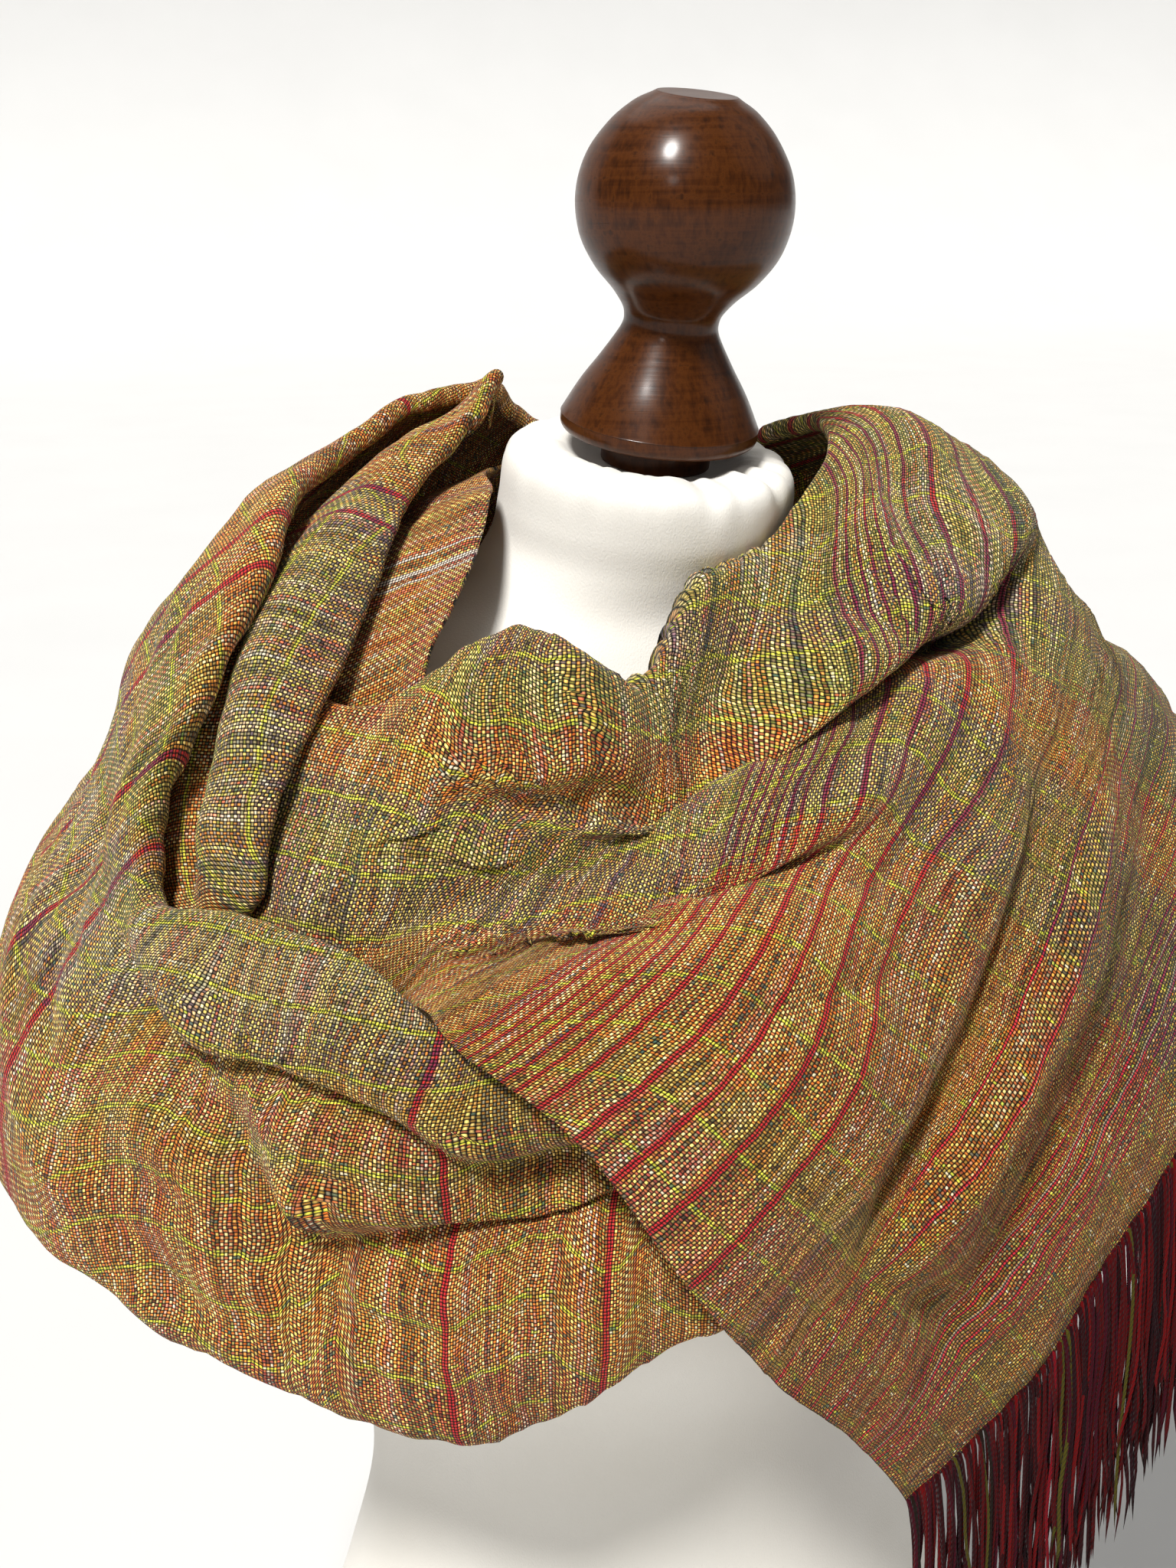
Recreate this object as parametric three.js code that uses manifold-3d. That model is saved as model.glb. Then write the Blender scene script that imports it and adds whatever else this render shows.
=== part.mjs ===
// A handwoven wool scarf wound once round a limbless dress form with a turned neck knob.
// Millimetres, +Z up. The front of the form faces -Y and its flat underside is z = 0.
//
// The cloth lies on one rounded shape about a centre in the chest. A place on it is given by
//   turn : degrees round the body, 0 at the front, +90 at +X, 180 at the back
//   rise : degrees above the level of the chest centre
//   lift : millimetres outside the rounded shape (negative: inside it)
// Each stretch of the scarf is a short table of weft lines (one row each) from its upper edge
// to its lower edge, with soft troughs added along its main folds.
import * as THREE from 'three';
import * as BufferGeometryUtils from 'three/addons/utils/BufferGeometryUtils.js';
import Module from 'manifold-3d';

// ---- driving dimensions -----------------------------------------------------------------------
const CLOTH = { wall: 2, centre: new THREE.Vector3(0, -10, 440), rollDegrees: 200, rollSteps: 3 };
const LEAN = { side: 3.5, forward: 9 }; // how far the neck top and its knob lean, degrees
const KNOB = { x: 2, y: -14, z: 701.5, segments: 24 };
const FORM_SEGMENTS = 30;
const FRINGE = {
  strandsPerStrip: 46,
  width: 1.9,
  strip: 3,        // the strip that holds the strands' roots
  stripSteps: 14,
  gap: 0.85,       // between that strip and the cloth's edge
  length: 118,
  unevenness: 26,
};

// ---- small helpers ----------------------------------------------------------------------------
const rad = THREE.MathUtils.degToRad;

// A smooth curve through the points (xs, ys) of a short table, read at x.
function curveAt(xs, ys, x) {
  let i = 0;
  while (i < xs.length - 2 && x >= xs[i + 1]) i += 1;
  const slope = (k) => (ys[k + 1] - ys[k]) / (xs[k + 1] - xs[k]);
  const tangent = (k) => {
    if (k === 0) return slope(0);
    if (k === xs.length - 1) return slope(k - 1);
    const before = xs[k] - xs[k - 1];
    const after = xs[k + 1] - xs[k];
    return (slope(k) * before + slope(k - 1) * after) / (before + after);
  };
  const h = xs[i + 1] - xs[i];
  const s = THREE.MathUtils.clamp((x - xs[i]) / h, -0.5, 1.5);
  const a = s * s;
  return ys[i] * (1 - 3 * a + 2 * a * s) + ys[i + 1] * (3 * a - 2 * a * s)
    + h * (tangent(i) * (s - 2 * a + a * s) + tangent(i + 1) * (a * s - a));
}

const indices = (list) => list.map((_, k) => k);

function bodyFrom(positions, triangles) {
  const geometry = new THREE.BufferGeometry();
  geometry.setAttribute('position', new THREE.Float32BufferAttribute(positions, 3));
  geometry.setIndex(triangles);
  return geometry;
}

function finish(color, roughness) {
  return new THREE.MeshStandardMaterial({ color, roughness, metalness: 0 });
}

function piece(name, geometry, material) {
  const mesh = new THREE.Mesh(geometry, material);
  mesh.name = name;
  return mesh;
}

// ---- the dress form: one lofted body, flat underneath -----------------------------------------
// height, half width, half depth, centre in y, and how much of the neck's lean the ring takes
const FORM_RINGS = [
  { z: 0, wide: 148, deep: 106, y: 0, lean: 0 },
  { z: 8, wide: 154, deep: 111, y: 0, lean: 0 },
  { z: 60, wide: 168, deep: 118, y: 0, lean: 0 },
  { z: 120, wide: 162, deep: 114, y: 0, lean: 0 },
  { z: 190, wide: 139, deep: 101, y: 0, lean: 0 },
  { z: 250, wide: 124, deep: 94, y: 0, lean: 0 },
  { z: 310, wide: 128, deep: 98, y: 0, lean: 0 },
  { z: 370, wide: 140, deep: 112, y: -8, lean: 0 },
  { z: 430, wide: 150, deep: 124, y: -16, lean: 0 },
  { z: 480, wide: 156, deep: 118, y: -14, lean: 0 },
  { z: 530, wide: 166, deep: 102, y: -6, lean: 0 },
  { z: 570, wide: 176, deep: 86, y: 0, lean: 0 },
  { z: 595, wide: 172, deep: 74, y: 2, lean: 0 },
  { z: 612, wide: 146, deep: 68, y: 3, lean: 0 },
  { z: 628, wide: 110, deep: 62, y: 3, lean: 0 },
  { z: 644, wide: 78, deep: 58, y: 2, lean: 0.3 },
  { z: 662, wide: 62, deep: 57, y: -2, lean: 0.7 },
  { z: 694, wide: 57, deep: 57, y: -11, lean: 1 },
  { z: 700, wide: 52, deep: 52, y: -13, lean: 1 },
  { z: 701.2, wide: 42, deep: 42, y: -14, lean: 1 },
];

function dressForm() {
  const n = FORM_SEGMENTS;
  const positions = [];
  const triangles = [];
  for (const ring of FORM_RINGS) {
    for (let k = 0; k < n; k += 1) {
      const a = (2 * Math.PI * k) / n;
      const x = ring.wide * Math.cos(a);
      const y = ring.deep * Math.sin(a);
      const tip = ring.lean * (y * Math.tan(rad(LEAN.forward)) - x * Math.tan(rad(LEAN.side)));
      positions.push(x, ring.y + y, ring.z + tip);
    }
  }
  for (let r = 0; r < FORM_RINGS.length - 1; r += 1) {
    for (let k = 0; k < n; k += 1) {
      const a = r * n + k;
      const b = r * n + ((k + 1) % n);
      triangles.push(a, b, b + n, a, b + n, a + n);
    }
  }
  const top = (FORM_RINGS.length - 1) * n;
  for (let k = 1; k < n - 1; k += 1) {
    triangles.push(0, k + 1, k);
    triangles.push(top, top + k, top + k + 1);
  }
  return bodyFrom(positions, triangles);
}

// ---- the neck knob: a turned ball on a cone, with a short spindle under it --------------------
// height up its own axis, radius
const KNOB_PROFILE = [
  { h: 0, r: 27 }, { h: 3.6, r: 27 }, { h: 4.2, r: 35.5 }, { h: 7, r: 38.4 }, { h: 11, r: 38.4 },
  { h: 23, r: 33 }, { h: 42, r: 21 }, { h: 49, r: 18 }, { h: 54, r: 19 }, { h: 60, r: 24 },
  { h: 68, r: 32 }, { h: 79, r: 38.6 }, { h: 93, r: 41 }, { h: 107, r: 38.5 }, { h: 119, r: 31.5 },
  { h: 127, r: 23 }, { h: 132, r: 14.5 },
];

function neckKnob() {
  const outline = KNOB_PROFILE.map((p) => new THREE.Vector2(p.r, p.h));
  outline.unshift(new THREE.Vector2(0, 0));
  outline.push(new THREE.Vector2(0, KNOB_PROFILE[KNOB_PROFILE.length - 1].h));
  const turned = new THREE.LatheGeometry(outline, KNOB.segments);
  const mesh = piece('neck_knob', turned, finish(0x4a2413, 0.25));
  const axis = new THREE.Vector3(Math.tan(rad(LEAN.side)), -Math.tan(rad(LEAN.forward)), 1);
  axis.normalize();
  mesh.quaternion.setFromUnitVectors(new THREE.Vector3(0, 1, 0), axis);
  mesh.position.set(KNOB.x, KNOB.y, KNOB.z);
  return mesh;
}

// ---- the rounded shape that the cloth lies on -------------------------------------------------
// distance from the chest centre at each rise, at the sides, the front and the back
const DRAPE = [
  { rise: -60, side: 430, front: 262, back: 268 }, { rise: -50, side: 390, front: 222, back: 228 },
  { rise: -40, side: 342, front: 197, back: 200 }, { rise: -30, side: 312, front: 184, back: 183 },
  { rise: -20, side: 294, front: 176, back: 173 }, { rise: -10, side: 282, front: 172, back: 168 },
  { rise: 0, side: 276, front: 172, back: 166 }, { rise: 10, side: 273, front: 174, back: 168 },
  { rise: 20, side: 272, front: 178, back: 174 }, { rise: 30, side: 272, front: 183, back: 182 },
  { rise: 40, side: 278, front: 192, back: 195 }, { rise: 50, side: 285, front: 203, back: 215 },
  { rise: 60, side: 287, front: 215, back: 235 }, { rise: 70, side: 284, front: 228, back: 250 },
  { rise: 80, side: 268, front: 245, back: 258 }, { rise: 90, side: 262, front: 262, back: 262 },
];
const DRAPE_RISES = DRAPE.map((row) => row.rise);

function place(turn, rise, lift) {
  const t = rad(turn);
  const f = rad(rise);
  const side = curveAt(DRAPE_RISES, DRAPE.map((row) => row.side), rise);
  const facing = Math.cos(t) > 0 ? 'front' : 'back';
  const face = curveAt(DRAPE_RISES, DRAPE.map((row) => row[facing]), rise);
  const reach = 1 / Math.hypot(Math.sin(t) / side, Math.cos(t) / face) + lift;
  return new THREE.Vector3(
    reach * Math.sin(t) * Math.cos(f),
    -reach * Math.cos(t) * Math.cos(f),
    reach * Math.sin(f),
  ).add(CLOTH.centre);
}

// ---- folds ------------------------------------------------------------------------------------
// A fold is a trough along a line of [turn, rise, depth in mm]; a negative depth is a ridge.
// above and below are its half widths in degrees to the left and right of the line's direction.
function foldDepth(turn, rise, folds) {
  let sum = 0;
  for (const fold of folds) {
    let nearest = Infinity;
    let depth = 0;
    let width = fold.above;
    for (let k = 0; k < fold.line.length - 1; k += 1) {
      const [t0, f0, d0] = fold.line[k];
      const [t1, f1, d1] = fold.line[k + 1];
      const squeeze = Math.cos(rad((f0 + f1) / 2));
      const dx = (t1 - t0) * squeeze;
      const dy = f1 - f0;
      const px = (turn - t0) * squeeze;
      const py = rise - f0;
      const along = THREE.MathUtils.clamp((px * dx + py * dy) / (dx * dx + dy * dy), 0, 1);
      const away = Math.hypot(px - along * dx, py - along * dy);
      if (away < nearest) {
        nearest = away;
        depth = d0 + (d1 - d0) * along;
        width = dx * py - dy * px > 0 ? fold.above : fold.below;
      }
    }
    sum += depth * Math.exp(-((nearest / width) ** 1.6));
  }
  return sum;
}

// ---- a stretch of cloth -----------------------------------------------------------------------
// The grid has one line of points per step along the scarf, each running across it. Both edges may
// roll inwards round a small radius.
function clothGrid(stretch) {
  const { rows, folds, steps, across } = stretch;
  const order = indices(rows);
  const lanes = indices(rows[0].turn);
  const alongLane = (field, lane, s) => curveAt(order, rows.map((row) => row[field][lane]), s);
  const read = (field, s, l) => curveAt(lanes, lanes.map((lane) => alongLane(field, lane, s)), l);
  const grid = [];
  for (let i = 0; i < steps; i += 1) {
    const s = ((rows.length - 1) * i) / (steps - 1);
    const line = [];
    for (let j = 0; j < across; j += 1) {
      const l = ((lanes.length - 1) * j) / (across - 1);
      const turn = read('turn', s, l);
      const rise = read('rise', s, l);
      line.push(place(turn, rise, read('lift', s, l) - foldDepth(turn, rise, folds)));
    }
    grid.push(line);
  }
  return grid.map((line, i) => {
    const s = ((rows.length - 1) * i) / (steps - 1);
    const before = grid[Math.max(i - 1, 0)];
    const after = grid[Math.min(i + 1, steps - 1)];
    const roll = (edge, inner, table) => {
      if (!table) return [];
      const radius = curveAt(order, table, s);
      const out = line[edge].clone().sub(line[inner]).normalize();
      const along = after[edge].clone().sub(before[edge]).normalize();
      const face = out.clone().cross(along).normalize();
      if (face.dot(line[edge].clone().sub(CLOTH.centre)) < 0) face.negate();
      const points = [];
      for (let k = 1; k <= CLOTH.rollSteps; k += 1) {
        const a = (rad(CLOTH.rollDegrees) * k) / CLOTH.rollSteps;
        points.push(line[edge].clone()
          .addScaledVector(out, radius * Math.sin(a))
          .addScaledVector(face, -radius * (1 - Math.cos(a))));
      }
      return points;
    };
    const upper = roll(0, 1, stretch.upperRoll);
    const lower = roll(across - 1, across - 2, stretch.lowerRoll);
    return [...upper.reverse(), ...line, ...lower];
  });
}

// A closed wall: the grid, a second grid CLOTH.wall inside it, and a rim round both.
function clothWall(grid) {
  const rows = grid.length;
  const cols = grid[0].length;
  const outside = grid.map((line, i) => line.map((p, j) => {
    const along = grid[Math.min(i + 1, rows - 1)][j].clone().sub(grid[Math.max(i - 1, 0)][j]);
    const over = line[Math.min(j + 1, cols - 1)].clone().sub(line[Math.max(j - 1, 0)]);
    return { point: p, normal: along.cross(over).normalize() };
  }));
  const middle = outside[Math.floor(rows / 2)][Math.floor(cols / 2)];
  const sign = Math.sign(middle.normal.dot(middle.point.clone().sub(CLOTH.centre)));
  const positions = [];
  for (const depth of [0, CLOTH.wall]) {
    for (const line of outside) {
      for (const { point, normal } of line) {
        positions.push(...point.clone().addScaledVector(normal, -sign * depth).toArray());
      }
    }
  }
  const at = (layer, i, j) => layer * rows * cols + i * cols + j;
  const triangles = [];
  const quad = (a, b, c, d) => {
    if (sign > 0) triangles.push(a, b, c, a, c, d);
    else triangles.push(a, c, b, a, d, c);
  };
  for (let i = 0; i < rows - 1; i += 1) {
    for (let j = 0; j < cols - 1; j += 1) {
      quad(at(0, i, j), at(0, i + 1, j), at(0, i + 1, j + 1), at(0, i, j + 1));
      quad(at(1, i, j), at(1, i, j + 1), at(1, i + 1, j + 1), at(1, i + 1, j));
    }
  }
  for (let i = 0; i < rows - 1; i += 1) {
    quad(at(0, i, 0), at(1, i, 0), at(1, i + 1, 0), at(0, i + 1, 0));
    quad(at(0, i, cols - 1), at(0, i + 1, cols - 1), at(1, i + 1, cols - 1), at(1, i, cols - 1));
  }
  for (let j = 0; j < cols - 1; j += 1) {
    quad(at(0, 0, j), at(0, 0, j + 1), at(1, 0, j + 1), at(1, 0, j));
    quad(at(0, rows - 1, j), at(1, rows - 1, j), at(1, rows - 1, j + 1), at(0, rows - 1, j + 1));
  }
  return bodyFrom(positions, triangles);
}

// ---- the stretches of the scarf ---------------------------------------------------------------
// Each row is a weft line, from its upper edge (first) to its lower edge (last).
// From the pocket on the left, across the chest, round the right shoulder to the fringed end.
const FRONT_STRETCH = {
  node: 'front_stretch',
  color: 0xb8863f,
  steps: 46,
  across: 19,
  rows: [
    {
      turn: [-73, -73, -72.5, -72, -71, -70],
      rise: [50, 46, 42, 38, 33, 28],
      lift: [-28, -28, -28, -28, -28, -28],
    },
    {
      turn: [-62, -62, -62, -62, -62, -62],
      rise: [51, 47, 42.5, 38, 33, 28],
      lift: [-21.4, -21, -21, -20, -20, -20],
    },
    { turn: [-47, -48, -49, -50, -51, -52], rise: [60, 54, 48, 41, 34, 27], lift: [-4, -2, -4, -6, -8, -12] },
    { turn: [-27, -30, -33, -37, -42, -48], rise: [63, 56, 50, 43, 35, 27.4], lift: [4, 4, 2, 0, -2, -12] },
    { turn: [4, -8, -17, -26, -35, -43.5], rise: [73.2, 66, 57, 47, 36, 27.1], lift: [3, 4, 4, 2, 2, 0.3] },
    { turn: [62, 35, 8, -11, -26, -40], rise: [74.7, 69.5, 60, 50.5, 37, 24.5], lift: [0, 4, 6, 4, 4, 4] },
    { turn: [126, 60, 28, 5, -11, -27], rise: [71, 65.5, 56, 44, 29, 16], lift: [3, 6, 2, 2, 6, 6] },
    { turn: [136, 74, 38, 15, 3, -15], rise: [57, 57, 46, 35, 17, -1], lift: [2, 2, -4, 2, 8, 8] },
    { turn: [141, 88, 52, 32, 12, -5], rise: [38, 44, 40, 27, 5, -16], lift: [3, -10, 2, 4, 2, 4] },
    { turn: [142, 96, 57, 36, 18, 8], rise: [16, 32, 27, 9, -14, -29], lift: [5, 2, 8, 6, 2, 2] },
    { turn: [138, 98, 62, 45.5, 34, 21], rise: [-8, 12, 10, -8, -30, -41], lift: [8, 32, 14, 6, 0, 0] },
  ],
  upperRoll: [3, 3.5, 8, 8, 7, 4, 4, 3, 3, 3, 3],
  folds: [
    { above: 2.6, below: 6, line: [
      [-45.5, 45.5, 5], [-36, 52, 12], [-21, 58, 16], [-10.5, 62.5, 16], [1, 67, 15], [11, 70.5, 10],
      [24, 74, 3],
    ] },
    { above: 2.8, below: 3.6, line: [[-32, 56, 3], [-28, 58, 12], [-24.5, 62, 15], [-22, 66, 15]] },
    { above: 3, below: 6, line: [
      [-38.5, 45.5, 4], [-25, 51.5, 10], [-12, 57, 11], [13, 60.5, 12], [24, 61.5, 14], [43, 62.5, 18],
      [57, 60, 26], [66, 57, 12], [76, 53, 2],
    ] },
    { above: 3, below: 5, line: [
      [-52, 31, 3], [-47, 36, 5], [-37, 42.5, 7], [-24, 47, 6], [-6, 51, 6], [14, 53.5, 5], [30, 55, 3],
    ] },
    { above: 3.2, below: 6, line: [
      [-39, 30, 3], [-34, 36, 8], [-22, 41, 11], [-12, 45, 12], [2, 46.5, 10], [17, 46, 7], [30, 47, 2],
    ] },
    { above: 5, below: 4, line: [[7, 0, 3], [14, 9.5, 8], [29.5, 28, 11], [42, 38.5, 8], [50, 45, 2]] },
    { above: 5, below: 5, line: [[22, -14, 3], [33, 4, 7], [44, 18, 8], [56, 30, 6], [66, 38, 2]] },
    { above: 5, below: 5, line: [[12, -8, -3], [22, 8, -6], [36, 24, -7], [48, 35, -4]] },
    { above: 4, below: 4, line: [[2, -10, 3], [10, -8, 4], [17, -12, 5], [24, -20, 2]] },
    { above: 4, below: 6, line: [[80, 50, 4], [105, 46, 8], [122, 31, 6], [134, 12, 2]] },
    { above: 4, below: 6, line: [[78, 30, 4], [98, 32, 8], [114, 20, 6], [126, 4, 3]] },
    { above: 5, below: 5, line: [[92, 58, -3], [110, 56, -6], [130, 40, -5]] },
  ],
};

// Across the back, over the left shoulder and round the lower front, to end under the panel.
const LOOP_STRETCH = {
  node: 'loop_stretch',
  color: 0xa08a45,
  steps: 56,
  across: 13,
  rows: [
    { turn: [-238, -238, -237, -236, -235], rise: [71, 54, 35, 15, -6], lift: [-16, -20, -20, -18, -18] },
    { turn: [-212, -212, -210, -208, -206], rise: [73, 55.5, 34, 12, -10], lift: [2, -6, -6, -6, -6] },
    { turn: [-180, -180, -180, -180, -180], rise: [74.5, 57.5, 36, 12, -14], lift: [12, 4, 2, 0, 0] },
    { turn: [-152, -154, -156, -158, -160], rise: [75, 57.5, 36, 14, -12], lift: [21, 8, 4, 2, 0] },
    { turn: [-134, -134, -133, -134, -138], rise: [75.5, 60, 40, 18, -6], lift: [29, 10, 4, 4, 4] },
    { turn: [-117, -116, -115, -117, -121], rise: [70.5, 57, 40, 20, -1], lift: [20, 6, 0, 2, 6] },
    { turn: [-97, -99, -101, -105, -110], rise: [63, 50, 36, 20, 2], lift: [6, 4, 2, 2, 8] },
    { turn: [-79, -85, -91, -96, -102], rise: [56, 45, 33, 19, 3], lift: [4, 4, 2, 2, 6] },
    { turn: [-73, -80, -86, -90, -93], rise: [45, 36, 26, 14, 3], lift: [5, 5, 4, 2, 4] },
    { turn: [-74, -80, -83, -85, -86], rise: [36, 28, 19, 10, 2], lift: [6, 8, 6, 4, 2] },
    { turn: [-71, -75, -77, -77, -76], rise: [29, 22, 13, 5, -1.5], lift: [6, 8, 6, 4, 2] },
    { turn: [-61, -63, -65, -65, -64], rise: [29.5, 20, 11, 2, -7], lift: [6, 8, 6, 2, 0] },
    { turn: [-50.5, -51.5, -52, -52, -50.5], rise: [29.8, 19, 8, -3, -13.5], lift: [5, 8, 6, 2, 0] },
    { turn: [-41, -41, -40.5, -40, -39], rise: [24.5, 15, 4, -7, -18], lift: [-3.8, 4, 6, 2, 0] },
    { turn: [-28, -28, -28, -28, -28.5], rise: [19, 9, -1, -9, -17], lift: [-6, -4, 0, 0, -2] },
    { turn: [-10, -11, -12, -12, -12], rise: [12, 4, -2, -6, -10.5], lift: [-8, -8, -6, -6, -6] },
    { turn: [20, 20, 20, 20, 20], rise: [6, 1, -4, -8, -11], lift: [-12, -12, -12, -12, -12] },
    { turn: [58, 58, 58, 58, 58], rise: [4, 0, -4, -8, -11], lift: [-22, -22, -22, -22, -22] },
  ],
  upperRoll: [3, 3, 4, 4, 4, 4, 5, 5, 5.8, 7, 6, 5, 3, 3, 3, 3, 3, 3],
  lowerRoll: [6, 6, 6, 6, 6, 6, 6, 6, 6, 7, 8, 9, 10, 10, 9, 7, 5, 5],
  folds: [
    { above: 2.6, below: 6, line: [
      [-76, 27.5, 2], [-71, 23.5, 8], [-63.5, 19.5, 10], [-55.5, 20, 10], [-47, 17, 12],
      [-42, 13.5, 12], [-38.5, 12, 14], [-31.5, 13, 17], [-24, 14, 14],
    ] },
    { above: 2.4, below: 7, line: [
      [-67, 19, 2], [-60.5, 12.5, 8], [-56.5, 6.5, 12], [-54, 2.2, 14], [-49, 2.8, 14],
      [-41.5, 4.5, 14], [-31.5, 5.5, 14], [-22, 7, 10],
    ] },
    { above: 4, below: 4, line: [[-92, 41, 3], [-85, 34, 6], [-79, 29, 6], [-75, 27, 2]] },
    { above: 5, below: 5, line: [[-92, 33, 3], [-80, 25, 6], [-73, 14, 6], [-67, 2, 4], [-64, -6, 2]] },
    { above: 4, below: 5, line: [[-112, 62, 3], [-104, 50, 6], [-99, 38, 6], [-94, 28, 3]] },
    { above: 5, below: 6, line: [[-232, 61, 3], [-205, 52, 9], [-165, 51, 9], [-130, 62, 4]] },
    { above: 5, below: 6, line: [[-232, 42, 3], [-205, 33, 9], [-160, 34, 8], [-116, 50, 4]] },
    { above: 5, below: 6, line: [[-232, 22, 3], [-205, 14, 8], [-158, 16, 8], [-112, 35, 4]] },
    { above: 4, below: 5, line: [[-235, 4, 3], [-205, -3, 6], [-165, -1, 6], [-118, 16, 4]] },
  ],
};

// The fold that stands beside the neck and runs down into the pocket.
const SHOULDER_FOLD = {
  node: 'shoulder_fold',
  color: 0x84803f,
  steps: 16,
  across: 7,
  rows: [
    { turn: [-128, -130, -134, -137], rise: [65, 69, 72, 74], lift: [-8, 0, 9, 14] },
    { turn: [-116, -117, -119, -124], rise: [66, 70, 74, 77.5], lift: [-8, 1, 13, 27] },
    { turn: [-106, -106, -106, -108], rise: [64, 68, 72, 75.5], lift: [-10, -2, 4, 10] },
    { turn: [-98, -94, -91, -89], rise: [60, 63.5, 66.5, 69], lift: [-14, -8, -8, -14] },
    { turn: [-92, -86, -80, -76], rise: [54, 58, 61, 63], lift: [-16, -10, -10, -18] },
    { turn: [-86, -80, -74, -69], rise: [48, 51, 54, 56], lift: [-18, -10, -8, -18] },
    { turn: [-82, -76, -71, -66], rise: [41, 44, 47, 49], lift: [-20, -10, -6, -16] },
    { turn: [-80, -74, -69.5, -65], rise: [36, 39, 41, 43], lift: [-20, -10, -4, -12] },
    { turn: [-78, -73, -68.5, -64.5], rise: [31, 34, 36, 37.5], lift: [-20, -10, -4, -10] },
    { turn: [-75, -71, -67.5, -64], rise: [28, 30, 31.5, 32.5], lift: [-20, -12, -8, -10] },
    { turn: [-71, -69.5, -67.5, -66], rise: [27.5, 28, 28.5, 29], lift: [-20, -16, -14, -14] },
  ],
  lowerRoll: [3, 3, 4, 4, 4, 4, 4, 4, 4, 4, 3],
  folds: [
  ],
};

// The innermost turn beside the neck, seen from its back, with a plain edge.
const INNER_BAND = {
  node: 'inner_band',
  color: 0xc2703c,
  steps: 14,
  across: 6,
  rows: [
    { turn: [-170, -171, -172, -173], rise: [62, 67, 72, 75.4], lift: [-14, -10, -4, 0.2] },
    { turn: [-148, -148, -148, -148], rise: [62, 67, 72, 75.9], lift: [-20, -16, -10, -4] },
    { turn: [-122, -120, -118, -116], rise: [61, 66, 71.5, 75.5], lift: [-26, -22, -18, -12] },
    { turn: [-104, -100, -95, -88], rise: [59, 64, 70, 75.5], lift: [-32, -28, -24, -17] },
    { turn: [-92, -86, -80, -72], rise: [54, 60, 66, 72], lift: [-34, -32, -30, -26] },
    { turn: [-84, -77, -70, -63], rise: [48, 54, 60, 66], lift: [-36, -34, -32, -26] },
    { turn: [-80, -73, -66, -59], rise: [41, 47, 53, 57.5], lift: [-40, -38, -36, -26] },
    { turn: [-76, -69, -62, -55], rise: [33, 39, 45, 49], lift: [-44, -42, -38, -34] },
  ],
  folds: [
  ],
};

// ---- the fringe -------------------------------------------------------------------------------
// One strip per part of the end edge (front, side, back), set just off the cloth, with the strands'
// roots fused into it. Strands run out along the warp for a few millimetres and then hang.
const FRINGE_STRIPS = [
  { node: 'fringe_front', from: 1, to: 0.67, seed: 1 },
  { node: 'fringe_side', from: 0.66, to: 0.34, seed: 2 },
  { node: 'fringe_back', from: 0.33, to: 0, seed: 3 },
];

// A repeatable number between 0 and 1 for each count.
function chance(count) {
  const s = Math.sin(count * 12.9898) * 43758.5453;
  return s - Math.floor(s);
}

// The fringed edge: place, direction out of the cloth and outward face at q, from 0 at the upper
// corner of the last weft line to 1 at its lower corner.
function fringedEdge(grid, q) {
  const last = grid[grid.length - 1];
  const inner = grid[grid.length - 2];
  const first = CLOTH.rollSteps;
  const at = first + q * (last.length - 1 - first);
  const j = Math.min(Math.floor(at), last.length - 2);
  const blend = (line) => line[j].clone().lerp(line[j + 1], at - j);
  const point = blend(last);
  const out = point.clone().sub(blend(inner)).normalize();
  const along = last[j + 1].clone().sub(last[j]).normalize();
  const face = out.clone().cross(along).normalize();
  if (face.dot(point.clone().sub(CLOTH.centre)) < 0) face.negate();
  return { point, out, face };
}

function ringsToBody(rings) {
  const n = rings[0].length;
  const positions = rings.flat().flatMap((p) => p.toArray());
  const triangles = [];
  for (let r = 0; r < rings.length - 1; r += 1) {
    for (let k = 0; k < n; k += 1) {
      const a = r * n + k;
      const b = r * n + ((k + 1) % n);
      triangles.push(a, b, b + n, a, b + n, a + n);
    }
  }
  const top = (rings.length - 1) * n;
  for (let k = 1; k < n - 1; k += 1) {
    triangles.push(0, k + 1, k);
    triangles.push(top, top + k, top + k + 1);
  }
  // rings that run clockwise about their path would turn the body inside out
  const [p, q] = rings[0];
  const middle = rings[0].reduce((sum, v) => sum.add(v), new THREE.Vector3()).divideScalar(n);
  const path = rings[1][0].clone().sub(p);
  const turn = p.clone().sub(middle).cross(q.clone().sub(middle));
  return bodyFrom(positions, turn.dot(path) > 0 ? triangles : triangles.reverse());
}

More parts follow.
